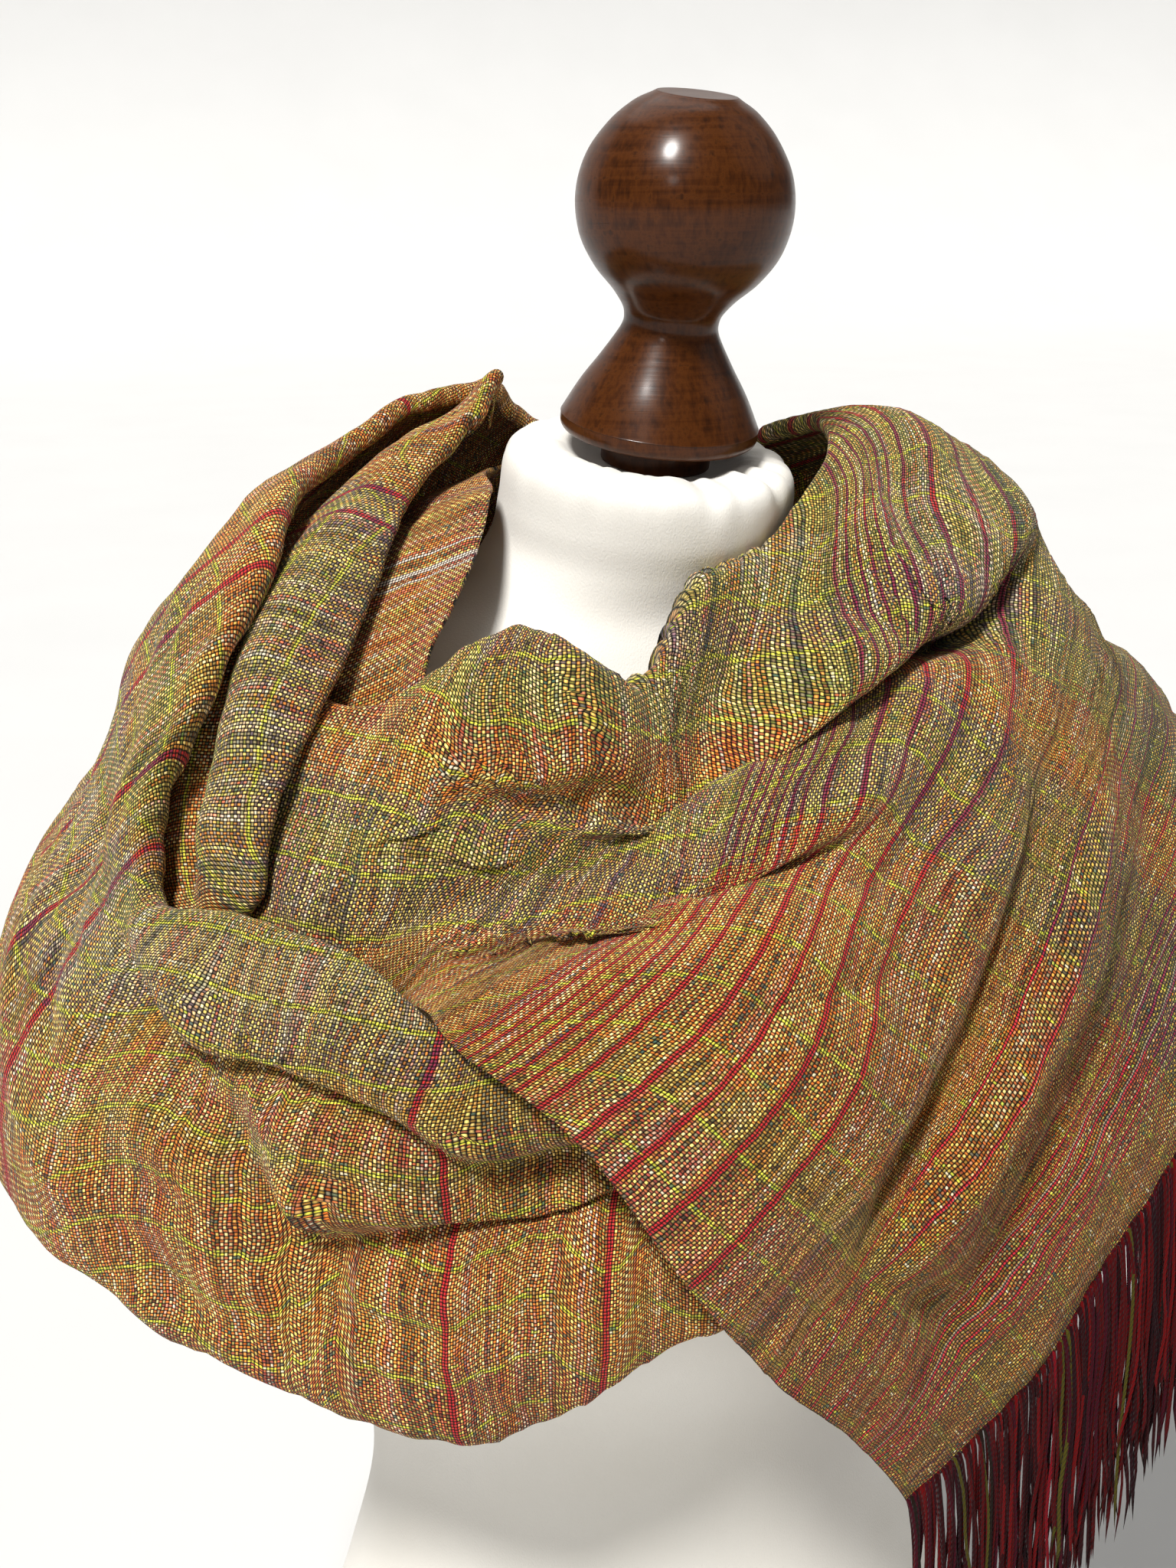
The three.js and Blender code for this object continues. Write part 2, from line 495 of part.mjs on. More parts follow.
function fringe(wasm, grid, strip) {
  const toSolid = (geometry) => {
    const merged = BufferGeometryUtils.mergeVertices(geometry);
    return new wasm.Manifold(new wasm.Mesh({
      numProp: 3,
      vertProperties: new Float32Array(merged.attributes.position.array),
      triVerts: new Uint32Array(merged.index.array),
    }));
  };
  const { width, strandsPerStrip, length, unevenness, stripSteps } = FRINGE;
  const frames = [];
  for (let i = 0; i <= stripSteps; i += 1) {
    frames.push(fringedEdge(grid, strip.from + ((strip.to - strip.from) * i) / stripSteps));
  }
  const rings = [];
  for (const { point, out, face } of frames) {
    const near = point.clone().addScaledVector(out, FRINGE.gap);
    const far = near.clone().addScaledVector(out, FRINGE.strip);
    rings.push([
      near.clone().addScaledVector(face, -0.2), far.clone().addScaledVector(face, -0.2),
      far.clone().addScaledVector(face, -CLOTH.wall), near.clone().addScaledVector(face, -CLOTH.wall),
    ]);
  }
  let body = toSolid(ringsToBody(rings));
  for (let k = 0; k < strandsPerStrip; k += 1) {
    const along = (stripSteps * (k + 0.6)) / (strandsPerStrip + 0.2);
    const frame = frames[Math.floor(along)];
    const next = frames[Math.floor(along) + 1];
    const [point, out, face] = ['point', 'out', 'face'].map(
      (key) => frame[key].clone().lerp(next[key], along % 1),
    );
    const luck = chance(k + 100 * strip.seed);
    const reach = length + unevenness * (chance(k + 37 * strip.seed) - 0.5);
    const root = point.clone()
      .addScaledVector(out, FRINGE.gap + FRINGE.strip * 0.55)
      .addScaledVector(face, -CLOTH.wall * 0.55);
    const flat = new THREE.Vector3(face.x, face.y, 0).normalize();
    const sideways = new THREE.Vector3(-flat.y, flat.x, 0);
    const sway = (luck - 0.5) * 5;
    const spine = [
      root,
      root.clone().addScaledVector(out, 5).addScaledVector(flat, (k % 2) * 1.8),
      root.clone().addScaledVector(out, 8).addScaledVector(flat, (k % 2) * 2.6 + 1)
        .add(new THREE.Vector3(0, 0, -reach * 0.35)),
      root.clone().addScaledVector(out, 8).addScaledVector(flat, (k % 2) * 2.6 + luck * 2)
        .addScaledVector(sideways, sway).add(new THREE.Vector3(0, 0, -reach)),
    ];
    const thick = [0.8, 1, 0.9, 0.45];
    const strandRings = spine.map((p, i) => {
      const turned = i === 0 ? out : new THREE.Vector3(0, 0, -1);
      const a = new THREE.Vector3().crossVectors(turned, face).normalize();
      const b = new THREE.Vector3().crossVectors(turned, a).normalize();
      return [0, 1, 2].map((c) => {
        const angle = (2 * Math.PI * c) / 3;
        return p.clone()
          .addScaledVector(a, 0.5 * width * thick[i] * Math.cos(angle))
          .addScaledVector(b, 0.5 * width * thick[i] * Math.sin(angle));
      });
    });
    body = body.add(toSolid(ringsToBody(strandRings)));
  }
  const result = body.getMesh();
  return bodyFrom(Array.from(result.vertProperties), Array.from(result.triVerts));
}

// ---- the whole part ---------------------------------------------------------------------------
const wasm = await Module();
wasm.setup();

const part = new THREE.Group();
part.add(piece('dress_form', dressForm(), finish(0xe9e5dc, 0.9)));
part.add(neckKnob());

const grids = {};
for (const stretch of [INNER_BAND, SHOULDER_FOLD, LOOP_STRETCH, FRONT_STRETCH]) {
  grids[stretch.node] = clothGrid(stretch);
  part.add(piece(stretch.node, clothWall(grids[stretch.node]), finish(stretch.color, 0.95)));
}
for (const strip of FRINGE_STRIPS) {
  part.add(piece(strip.node, fringe(wasm, grids.front_stretch, strip), finish(0x6e1520, 0.9)));
}

export default part;
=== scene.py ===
import math
import bmesh
import bpy
import numpy as np
from mathutils import Matrix, Vector


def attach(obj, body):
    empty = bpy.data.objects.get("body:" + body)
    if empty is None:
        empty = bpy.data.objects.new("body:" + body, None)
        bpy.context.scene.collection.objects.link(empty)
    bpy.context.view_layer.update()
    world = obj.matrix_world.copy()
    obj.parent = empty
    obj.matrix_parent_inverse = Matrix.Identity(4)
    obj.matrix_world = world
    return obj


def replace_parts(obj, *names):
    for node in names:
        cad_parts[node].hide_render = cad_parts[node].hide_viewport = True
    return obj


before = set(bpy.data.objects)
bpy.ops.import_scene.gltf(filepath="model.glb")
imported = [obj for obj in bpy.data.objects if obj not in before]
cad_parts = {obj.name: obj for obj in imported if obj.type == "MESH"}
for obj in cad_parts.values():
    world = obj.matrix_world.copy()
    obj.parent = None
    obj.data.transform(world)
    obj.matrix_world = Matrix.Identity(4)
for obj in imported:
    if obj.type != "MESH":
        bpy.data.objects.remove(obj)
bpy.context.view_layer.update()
mm = 0.001
print("frame loaded")

# camera and studio light

view = {"turn": -18, "tilt": 17.6, "roll": -0.4, "distance": 783,
        "aim": (-35.6, -40, 574.6), "lens": 45.7, "sensor": 36, "farthest": 60}


def aimedFrame(turn, tilt, roll=0):
    # right, up and back directions of a viewer turned round +Z from -Y and raised by tilt
    a, e, r = (math.radians(x) for x in (turn, tilt, roll))
    back = Vector((math.sin(a) * math.cos(e), -math.cos(a) * math.cos(e), math.sin(e)))
    right = Vector((math.cos(a), math.sin(a), 0))
    up = back.cross(right)
    return (right * math.cos(r) + up * math.sin(r), up * math.cos(r) - right * math.sin(r), back)


def standing(obj, axes, place):
    turned = Matrix(axes).transposed().to_4x4()
    obj.matrix_world = Matrix.Translation(place) @ turned
    bpy.context.collection.objects.link(obj)
    return obj


viewAxes = aimedFrame(view["turn"], view["tilt"], view["roll"])
lensData = bpy.data.cameras.new("studioCamera")
lensData.lens = view["lens"]
lensData.sensor_width = view["sensor"]
lensData.clip_end = view["farthest"]
camera = standing(bpy.data.objects.new("studioCamera", lensData), viewAxes,
                  (Vector(view["aim"]) + viewAxes[2] * view["distance"]) * mm)
bpy.context.scene.camera = camera

lampStand = {"middle": (0, 0, 520), "away": 2000}
skyStrength = 0.12
lamps = [   # suns: the way they stand, how wide each looks in the sky, and how strong it is
    {"name": "windowLight", "turn": -44, "tilt": 55, "wide": 12, "strength": 4.6},
    {"name": "frontLight", "turn": -34, "tilt": 25, "wide": 10, "strength": 0.18},
    {"name": "rightLight", "turn": 80, "tilt": 40, "wide": 50, "strength": 0.16},
    {"name": "backLight", "turn": 176, "tilt": 60, "wide": 50, "strength": 0.8},
]
for lamp in lamps:
    axes = aimedFrame(lamp["turn"], lamp["tilt"])
    data = bpy.data.lights.new(lamp["name"], "SUN")
    data.angle = math.radians(lamp["wide"])
    data.energy = lamp["strength"]
    data.color = (1, 0.985, 0.96)
    standing(bpy.data.objects.new(lamp["name"], data), axes,
             (Vector(lampStand["middle"]) + axes[2] * lampStand["away"]) * mm)

studio = bpy.data.worlds.new("studio")
studio.use_nodes = True
studio.node_tree.nodes["Background"].inputs["Color"].default_value = (1, 1, 1, 1)
studio.node_tree.nodes["Background"].inputs["Strength"].default_value = skyStrength
bpy.context.scene.world = studio
bpy.context.scene.view_settings.view_transform = "Standard"
print("camera and light set")

# helpers for meshes and shaders


def gridFaces(rows, cols, closed=False):
    # quads between the points of a rows x cols grid; closed joins the last column to the first
    index = np.arange(rows * cols).reshape(rows, cols)
    if closed:
        index = np.concatenate([index, index[:, :1]], axis=1)
    return np.stack([index[:-1, :-1], index[1:, :-1], index[1:, 1:], index[:-1, 1:]],
                    axis=-1).reshape(-1, 4)


def newPiece(name, points, faces, uv=None):
    # a smooth mesh from points in millimetres, with the cloth measure in metres as its UV layer
    mesh = bpy.data.meshes.new(name)
    mesh.vertices.add(len(points))
    mesh.vertices.foreach_set("co", np.asarray(points, np.float32).ravel() * mm)
    sides = faces.shape[1]
    mesh.loops.add(faces.size)
    mesh.loops.foreach_set("vertex_index", faces.ravel().astype(np.int32))
    mesh.polygons.add(len(faces))
    mesh.polygons.foreach_set("loop_start", np.arange(len(faces), dtype=np.int32) * sides)
    mesh.update(calc_edges=True)
    mesh.polygons.foreach_set("use_smooth", np.full(len(faces), True))
    if uv is not None:
        layer = mesh.uv_layers.new(name="cloth")
        layer.data.foreach_set("uv", uv[faces.ravel()].astype(np.float32).ravel())
    mesh.validate()
    piece = bpy.data.objects.new(name, mesh)
    bpy.context.collection.objects.link(piece)
    return piece


def thicken(piece, thickness):
    # a wall on the inner side of a sheet
    wall = piece.modifiers.new("wall", "SOLIDIFY")
    wall.thickness = thickness * mm
    wall.offset = -1


class Shader:
    # a material and short ways of adding the nodes it needs

    def __init__(self, name, settings):
        self.material = bpy.data.materials.new(name)
        self.material.use_nodes = True
        self.tree = self.material.node_tree
        self.surface = self.tree.nodes["Principled BSDF"]
        self.feed(settings)

    def feed(self, sockets):
        for socket, value in sockets.items():
            self.put(self.surface.inputs[socket], value)

    def put(self, socket, value):
        if isinstance(value, bpy.types.NodeSocket):
            self.tree.links.new(value, socket)
        elif value is not None:
            socket.default_value = value

    def node(self, kind, inputs=(), out=0, **settings):
        made = self.tree.nodes.new(kind)
        for key, value in settings.items():
            setattr(made, key, value)
        for key, value in dict(inputs).items():
            self.put(made.inputs[key], value)
        return made.outputs[out]

    def math(self, operation, a, b=None, c=None):
        return self.node("ShaderNodeMath", {0: a, 1: b, 2: c}, operation=operation)

    def times(self, a, b):
        return self.math("MULTIPLY", a, b)

    def scaled(self, value, factor, plus):
        return self.math("MULTIPLY_ADD", value, factor, plus)

    def span(self, value, start, end, low, high, **settings):
        # low up to start, high from end on, and a slope between them
        return self.node("ShaderNodeMapRange", {0: value, 1: start, 2: end, 3: low, 4: high},
                         **settings)

    def pair(self, a, b):
        return self.node("ShaderNodeCombineXYZ", {0: a, 1: b})

    def stretched(self, where, x, y, z):
        return self.node("ShaderNodeMapping", {"Vector": where, "Scale": (x, y, z)})

    def mix(self, factor, a, b, blend="MIX"):
        return self.node("ShaderNodeMix", {0: factor, 6: a, 7: b}, out=2, data_type="RGBA",
                         blend_type=blend)

    def dimmed(self, tone, value):
        # the colour times a grey of that value
        grey = self.node("ShaderNodeCombineColor", {0: value, 1: value, 2: value})
        return self.mix(1.0, tone, grey, "MULTIPLY")

    def steps(self, value, stops, kind="LINEAR"):
        # a ramp of screen colours
        made = self.tree.nodes.new("ShaderNodeValToRGB")
        ramp = made.color_ramp
        ramp.interpolation = kind
        while len(ramp.elements) < len(stops):
            ramp.elements.new(0.5)
        for element, (place, tone) in zip(ramp.elements, stops):
            element.position = place
            element.color = solid(*tone)
        self.put(made.inputs[0], value)
        return made.outputs[0]

    def noise(self, vector, scale, detail=2.0, rough=0.5, kind="3D"):
        inputs = {"Scale": scale, "Detail": detail, "Roughness": rough}
        inputs["W" if kind == "1D" else "Vector"] = vector
        return self.node("ShaderNodeTexNoise", inputs, noise_dimensions=kind)

    def bump(self, height, distance, strength, normal=None):
        inputs = {"Height": height, "Distance": distance, "Strength": strength}
        if normal is not None:
            inputs["Normal"] = normal
        return self.node("ShaderNodeBump", inputs)


def colour(red, green, blue):
    # the shader's own value of a colour given as it shows on a screen, 0 to 255
    return tuple(c / 12.92 if c <= 0.04045 else ((c + 0.055) / 1.055) ** 2.4
                 for c in (red / 255, green / 255, blue / 255))


def solid(red, green, blue):
    return (*colour(red, green, blue), 1)


# the rounded shape that the cloth lies on: turn is degrees round the body from the front,
# rise degrees above the chest centre, lift millimetres outside the shape

drape = {
    "centre": np.array([0.0, -10.0, 440.0]),
    "lowest": -60, "step": 10,
    "side": [430, 390, 342, 312, 294, 282, 276, 273, 272, 272, 278, 285, 287, 284, 268, 262],
    "front": [262, 222, 197, 184, 176, 172, 172, 174, 178, 183, 192, 203, 215, 228, 245, 262],
    "back": [268, 228, 200, 183, 173, 168, 166, 168, 174, 182, 195, 215, 235, 250, 258, 262],
    "thickness": 1.5, "rollSteps": 8, "rollTurn": 200,
    "firstRows": 400, "firstLanes": 40,         # a first reading, for steps of equal length
    "shearSteps": (-24, -12, 0, 12, 24),        # mm over which a change of shear is softened
    "waves": [      # the cloth's soft unevenness, from long to short, in mm and degrees
        {"length": 95, "height": 1.1, "angle": 80, "spread": 50, "count": 5},
        {"length": 42, "height": 0.5, "angle": 70, "spread": 70, "count": 6},
        {"length": 21, "height": 0.22, "angle": 30, "spread": 90, "count": 7},
        {"length": 12, "height": 0.1, "angle": 0, "spread": 90, "count": 5},
    ],
}
foldShape = {
    "readings": 5,      # along each span of a fold's line
    "power": 1.6,       # how square the trough is
    "crest": 0.7,       # the leaning ridge's width as a share of its distance from the line
    # where the lines of the mesh crowd: how many more, up to which depth, where and how wide
    "crowd": 1.7, "fullDepth": 10, "mostDepth": 1.4, "crowdAt": 0.4, "crowdWidth": 3.6,
}


def curve(values, at):
    # a smooth curve through evenly numbered values, read at many places: each span is a cubic
    # whose end slopes are the mean of the steps on either side; where at has two directions,
    # every row of values is read at places of its own
    values = np.asarray(values, float)
    at = np.asarray(at, float)
    if at.ndim == 1:
        return curve(values[None], at[None])[0]
    row = np.arange(len(values))[:, None]
    step = np.diff(values, axis=1)
    slope = np.concatenate([step[:, :1], (step[:, 1:] + step[:, :-1]) / 2, step[:, -1:]], axis=1)
    i = np.clip(np.floor(at).astype(int), 0, values.shape[1] - 2)
    s = np.clip(at - i, -0.5, 1.5).reshape(at.shape + (1,) * (values.ndim - 2))
    a = s * s
    return (values[row, i] * (1 - 3 * a + 2 * a * s) + values[row, i + 1] * (3 * a - 2 * a * s)
            + slope[row, i] * (s - 2 * a + a * s) + slope[row, i + 1] * (a * s - a))


def place(turn, rise, lift):
    # an ellipse of side and face reach at that rise, walked out by lift along the line of sight
    t, f = np.radians(turn), np.radians(rise)
    at = ((rise - drape["lowest"]) / drape["step"]).ravel()
    side, front, back = (curve(drape[key], at).reshape(rise.shape)
                         for key in ("side", "front", "back"))
    face = np.where(np.cos(t) > 0, front, back)
    reach = 1 / np.hypot(np.sin(t) / side, np.cos(t) / face) + lift
    return drape["centre"] + np.stack([reach * np.sin(t) * np.cos(f),
                                       -reach * np.cos(t) * np.cos(f),
                                       reach * np.sin(f)], axis=-1)


def nearestOn(line, turn, rise):
    # the nearest point of a smooth line through the places given: how far away it is in degrees,
    # counted positive on the line's left, then the direction to the left, then the line's own
    # values there, depth and lap
    fine = np.zeros((foldShape["readings"] * (len(line) - 1) + 1, 4))
    fine[:, :len(line[0])] = curve(line, np.linspace(0, len(line) - 1, len(fine)))
    nearest = np.full(turn.shape, 1e9)
    found = np.zeros(turn.shape + (5,))
    for start, end in zip(fine[:-1], fine[1:]):
        squeeze = math.cos(math.radians((start[1] + end[1]) / 2))
        dx, dy = (end[0] - start[0]) * squeeze, end[1] - start[1]
        length = math.hypot(dx, dy)
        px, py = (turn - start[0]) * squeeze, rise - start[1]
        along = np.clip((px * dx + py * dy) / length ** 2, 0, 1)
        away = np.hypot(px - along * dx, py - along * dy)
        closer = away < nearest
        nearest[closer] = away[closer]
        along = along[closer, None]
        found[closer] = np.concatenate(
            [np.where(dx * py > dy * px, 1, -1)[closer, None],
             np.full(along.shape, -dy / length / squeeze), np.full(along.shape, dx / length),
             start[2:] + (end[2:] - start[2:]) * along], axis=1)
    return nearest * found[..., 0], found[..., 1:3], found[..., 3], found[..., 4]


def folded(turn, rise, folds):
    # each fold sinks the cloth by depth x exp(-(distance / width)^power), with one width on the
    # left of its line and one on the right; where it has a lap, the ridge on the left leans over
    # the trough by lap x exp(-((distance - ridge) / (crest x ridge))^2) degrees and stands up a
    # little
    sink = np.zeros(turn.shape)
    pull = np.zeros(turn.shape + (2,))
    crowd = np.ones(turn.shape)
    for each in folds:
        away, left, depth, lap = nearestOn(each["line"], turn, rise)
        ridge = each["above"]
        width = np.where(away > 0, ridge, each["below"])
        sink += depth * np.exp(-(np.abs(away) / width) ** foldShape["power"])
        crest = np.exp(-((away - ridge) / (foldShape["crest"] * ridge)) ** 2)
        pull += (lap * crest)[..., None] * left
        sink -= each["raised"] * lap * crest
        near = (away - foldShape["crowdAt"] * ridge) / foldShape["crowdWidth"]
        crowd += (np.clip(depth / foldShape["fullDepth"], 0, foldShape["mostDepth"])
                  * foldShape["crowd"] * np.exp(-near ** 2))
    return turn - pull[..., 0], rise - pull[..., 1], sink, crowd


def ripples(u, v, seed):
    # soft unevenness: a sum of sine waves over the cloth's own length u and width v, each with a
    # bend and fading in and out in patches
    luck = np.random.default_rng(seed)
    total = np.zeros_like(u)
    for wave in drape["waves"]:
        for _ in range(wave["count"]):
            angle = math.radians(wave["angle"] + luck.uniform(-1, 1) * wave["spread"])
            size = wave["length"] * luck.uniform(0.7, 1.4)
            phase = luck.uniform(0, 2 * math.pi)
            bend = 0.25 * np.sin(u / size / 2.3 + phase * 3) * size
            across = u * math.cos(angle) + v * math.sin(angle) + bend
            patch = 0.5 + 0.5 * np.sin(u / size / 1.7 + phase * 5) * np.sin(v / size / 1.3 + phase)
            total += wave["height"] * patch * np.sin(2 * math.pi * across / size + phase)
    return total


def rolledEdge(edge, inner, radius):
    # the cloth curls inwards past its edge along an arc of the given radius
    out = edge - inner
    out /= np.linalg.norm(out, axis=1, keepdims=True)
    along = np.gradient(edge, axis=0)
    face = np.cross(out, along)
    face /= np.linalg.norm(face, axis=1, keepdims=True)
    face *= np.sign(np.sum(face * (edge - drape["centre"]), axis=1, keepdims=True))
    steps = drape["rollSteps"]
    a = np.radians(drape["rollTurn"]) * np.arange(1, steps + 1)[None, :, None] / steps
    r = radius[:, None, None]
    return (edge[:, None] + out[:, None] * r * np.sin(a) - face[:, None] * r * (1 - np.cos(a)))


def runAlong(points):
    # millimetres along the cloth at each row of points, as the mean over its width
    steps = np.linalg.norm(np.diff(points, axis=0), axis=2).mean(axis=1)
    return np.concatenate([[0], np.cumsum(steps)])


def measured(points, fromLower):
    # the cloth's own measure: u along its length, v across from one of its edges
    run = np.linalg.norm(np.diff(points, axis=1), axis=2)
    v = np.concatenate([np.zeros((len(points), 1)), np.cumsum(run, axis=1)], axis=1)
    if fromLower:
        v = v[:, -1:] - v
    return np.repeat(runAlong(points)[:, None], points.shape[1], axis=1), v


def drapedCloth(name, stretch):
    # a smooth surface through the rows, sunk by its folds, with rolled edges, as a thin wall
    rows = np.moveaxis(np.array(stretch["rows"], float), 2, 1)
    last = rows.shape[1] - 1
    folds = stretch["folds"]
    fromLower = stretch["measuredFrom"] == "lower"

    def read(order, lanes):
        return np.moveaxis(curve(curve(rows, order), lanes), 2, 0)

    # steps of equal length along the cloth, measured on a first reading
    order = np.linspace(0, len(rows) - 1, drape["firstRows"])
    even = np.broadcast_to(np.linspace(0, last, drape["firstLanes"]),
                           (drape["firstRows"], drape["firstLanes"]))
    gone = runAlong(place(*read(order, even)))
    order = np.interp(np.linspace(0, gone[-1], stretch["along"]), gone, order)

    # across it, the lines stand closer together where the cloth folds
    count = stretch["across"]
    even = np.broadcast_to(np.linspace(0, last, count), (len(order), count))
    turn, rise, _ = read(order, even)
    crowd = np.cumsum(folded(turn, rise, folds)[3], axis=1)
    share = (crowd - crowd[:, :1]) / (crowd[:, -1:] - crowd[:, :1])
    row = 2 * np.arange(len(order))[:, None]
    lanes = np.interp((np.linspace(0, 1, count) + row).ravel(), (share + row).ravel(),
                      even.ravel()).reshape(even.shape)

    turn, rise, lift = read(order, lanes)
    turn, rise, sink, _ = folded(turn, rise, folds)
    u, v = measured(place(turn, rise, lift - sink), fromLower)
    rest = place(turn, rise, lift - sink + ripples(u, v, stretch["seed"]))
    sides = [rest]
    if "upperRoll" in stretch:
        roll = rolledEdge(rest[:, 0], rest[:, 1], curve(stretch["upperRoll"], order))
        sides.insert(0, roll[:, ::-1])
    if "lowerRoll" in stretch:
        sides.append(rolledEdge(rest[:, -1], rest[:, -2], curve(stretch["lowerRoll"], order)))
    whole = np.concatenate(sides, axis=1)
    u, v = measured(whole, fromLower)
    if "shear" in stretch:
        # where the warp runs askew to the rows, v is shifted by an amount that changes along u
        places, shifts = zip(*stretch["shear"])
        steps = drape["shearSteps"]
        v = v + sum(np.interp(u + step, places, shifts) for step in steps) / len(steps)

    # faces point away from the chest
    faces = gridFaces(*whole.shape[:2])
    mid = np.array(whole.shape[:2]) // 2
    spot = whole[mid[0], mid[1]]
    normal = np.cross(whole[mid[0] + 1, mid[1]] - spot, whole[mid[0], mid[1] + 1] - spot)
    if np.dot(normal, spot - drape["centre"]) < 0:
        faces = faces[:, ::-1]
    uv = np.stack([u, v], axis=-1).reshape(-1, 2) * mm
    piece = newPiece(name, whole.reshape(-1, 3), faces, uv)
    thicken(piece, drape["thickness"])
    print(name, "length", round(float(u[-1, 0])), "mm, width",
          round(float(np.ptp(v, axis=1).min())), "to", round(float(np.ptp(v, axis=1).max())))
    return piece, whole, order


def fold(above, below, *line, raised=0):
    # the line's points are (turn, rise, depth, lap); the trough is above and below degrees wide on
    # its two sides, and raised is the mm that the ridge stands up for each degree of lap
    return {"above": above, "below": below, "raised": raised, "line": line}


# the stretches of the scarf: each row is a line across it, from its upper edge to its lower edge,
# as the turn, rise and lift of each of its points; rolls are the radius in mm of the curled edge
# at each row; shear is (mm along, mm of shift)

# the innermost turn beside the neck, seen from its back, with a plain edge
innerBand = {
    "along": 120, "across": 50, "measuredFrom": "upper", "seed": 4,
    "rows": [
        ([-170, -171, -172, -173], [62, 67, 72, 75.4], [-14, -10, -4, 0.2]),
        ([-148, -148, -148, -148], [62, 67, 72, 75.9], [-20, -16, -10, -4]),
        ([-122, -120, -118, -116], [61, 66, 71.5, 75.5], [-26, -22, -18, -12]),
        ([-104, -100, -95, -88], [59, 64, 70, 75.5], [-32, -28, -24, -17]),
        ([-92, -86, -80, -72], [54, 60, 66, 72], [-34, -32, -30, -26]),
        ([-84, -77, -70, -63], [48, 54, 60, 66], [-36, -34, -32, -26]),
        ([-80, -73, -66, -59], [41, 47, 53, 57.5], [-40, -38, -36, -26]),
        ([-76, -69, -62, -55], [33, 39, 45, 49], [-44, -42, -38, -34]),
    ],
    "folds": [],
}

# the fold that stands beside the neck and runs down into the pocket
shoulderFold = {
    "along": 150, "across": 60, "measuredFrom": "upper", "seed": 5,
    "rows": [
        ([-128, -130, -134, -137], [65, 69, 72, 74], [-8, 0, 9, 14]),
        ([-116, -117, -119, -124], [66, 70, 74, 77.5], [-8, 1, 13, 27]),
        ([-106, -106, -106, -108], [64, 68, 72, 75.5], [-10, -2, 4, 10]),
        ([-98, -94, -91, -89], [60, 63.5, 66.5, 69], [-14, -8, -8, -14]),
        ([-92, -86, -80, -76], [54, 58, 61, 63], [-16, -10, -10, -18]),
        ([-86, -80, -74, -69], [48, 51, 54, 56], [-18, -10, -8, -18]),
        ([-82, -76, -71, -66], [41, 44, 47, 49], [-20, -10, -6, -16]),
        ([-80, -74, -69.5, -65], [36, 39, 41, 43], [-20, -10, -4, -12]),
        ([-78, -73, -68.5, -64.5], [31, 34, 36, 37.5], [-20, -10, -4, -10]),
        ([-75, -71, -67.5, -64], [28, 30, 31.5, 32.5], [-20, -12, -8, -10]),
        ([-71, -69.5, -67.5, -66], [27.5, 28, 28.5, 29], [-20, -16, -14, -14]),
    ],
    "lowerRoll": [3, 3, 4, 4, 4, 4, 4, 4, 4, 4, 3],
    "folds": [
        fold(1.6, 1.8, (-90, 61.5, 2), (-84, 56, 6), (-79, 50, 8), (-76, 43.5, 9), (-74, 38, 9),
             (-72.5, 33, 8), (-71, 30, 3)),
    ],
}

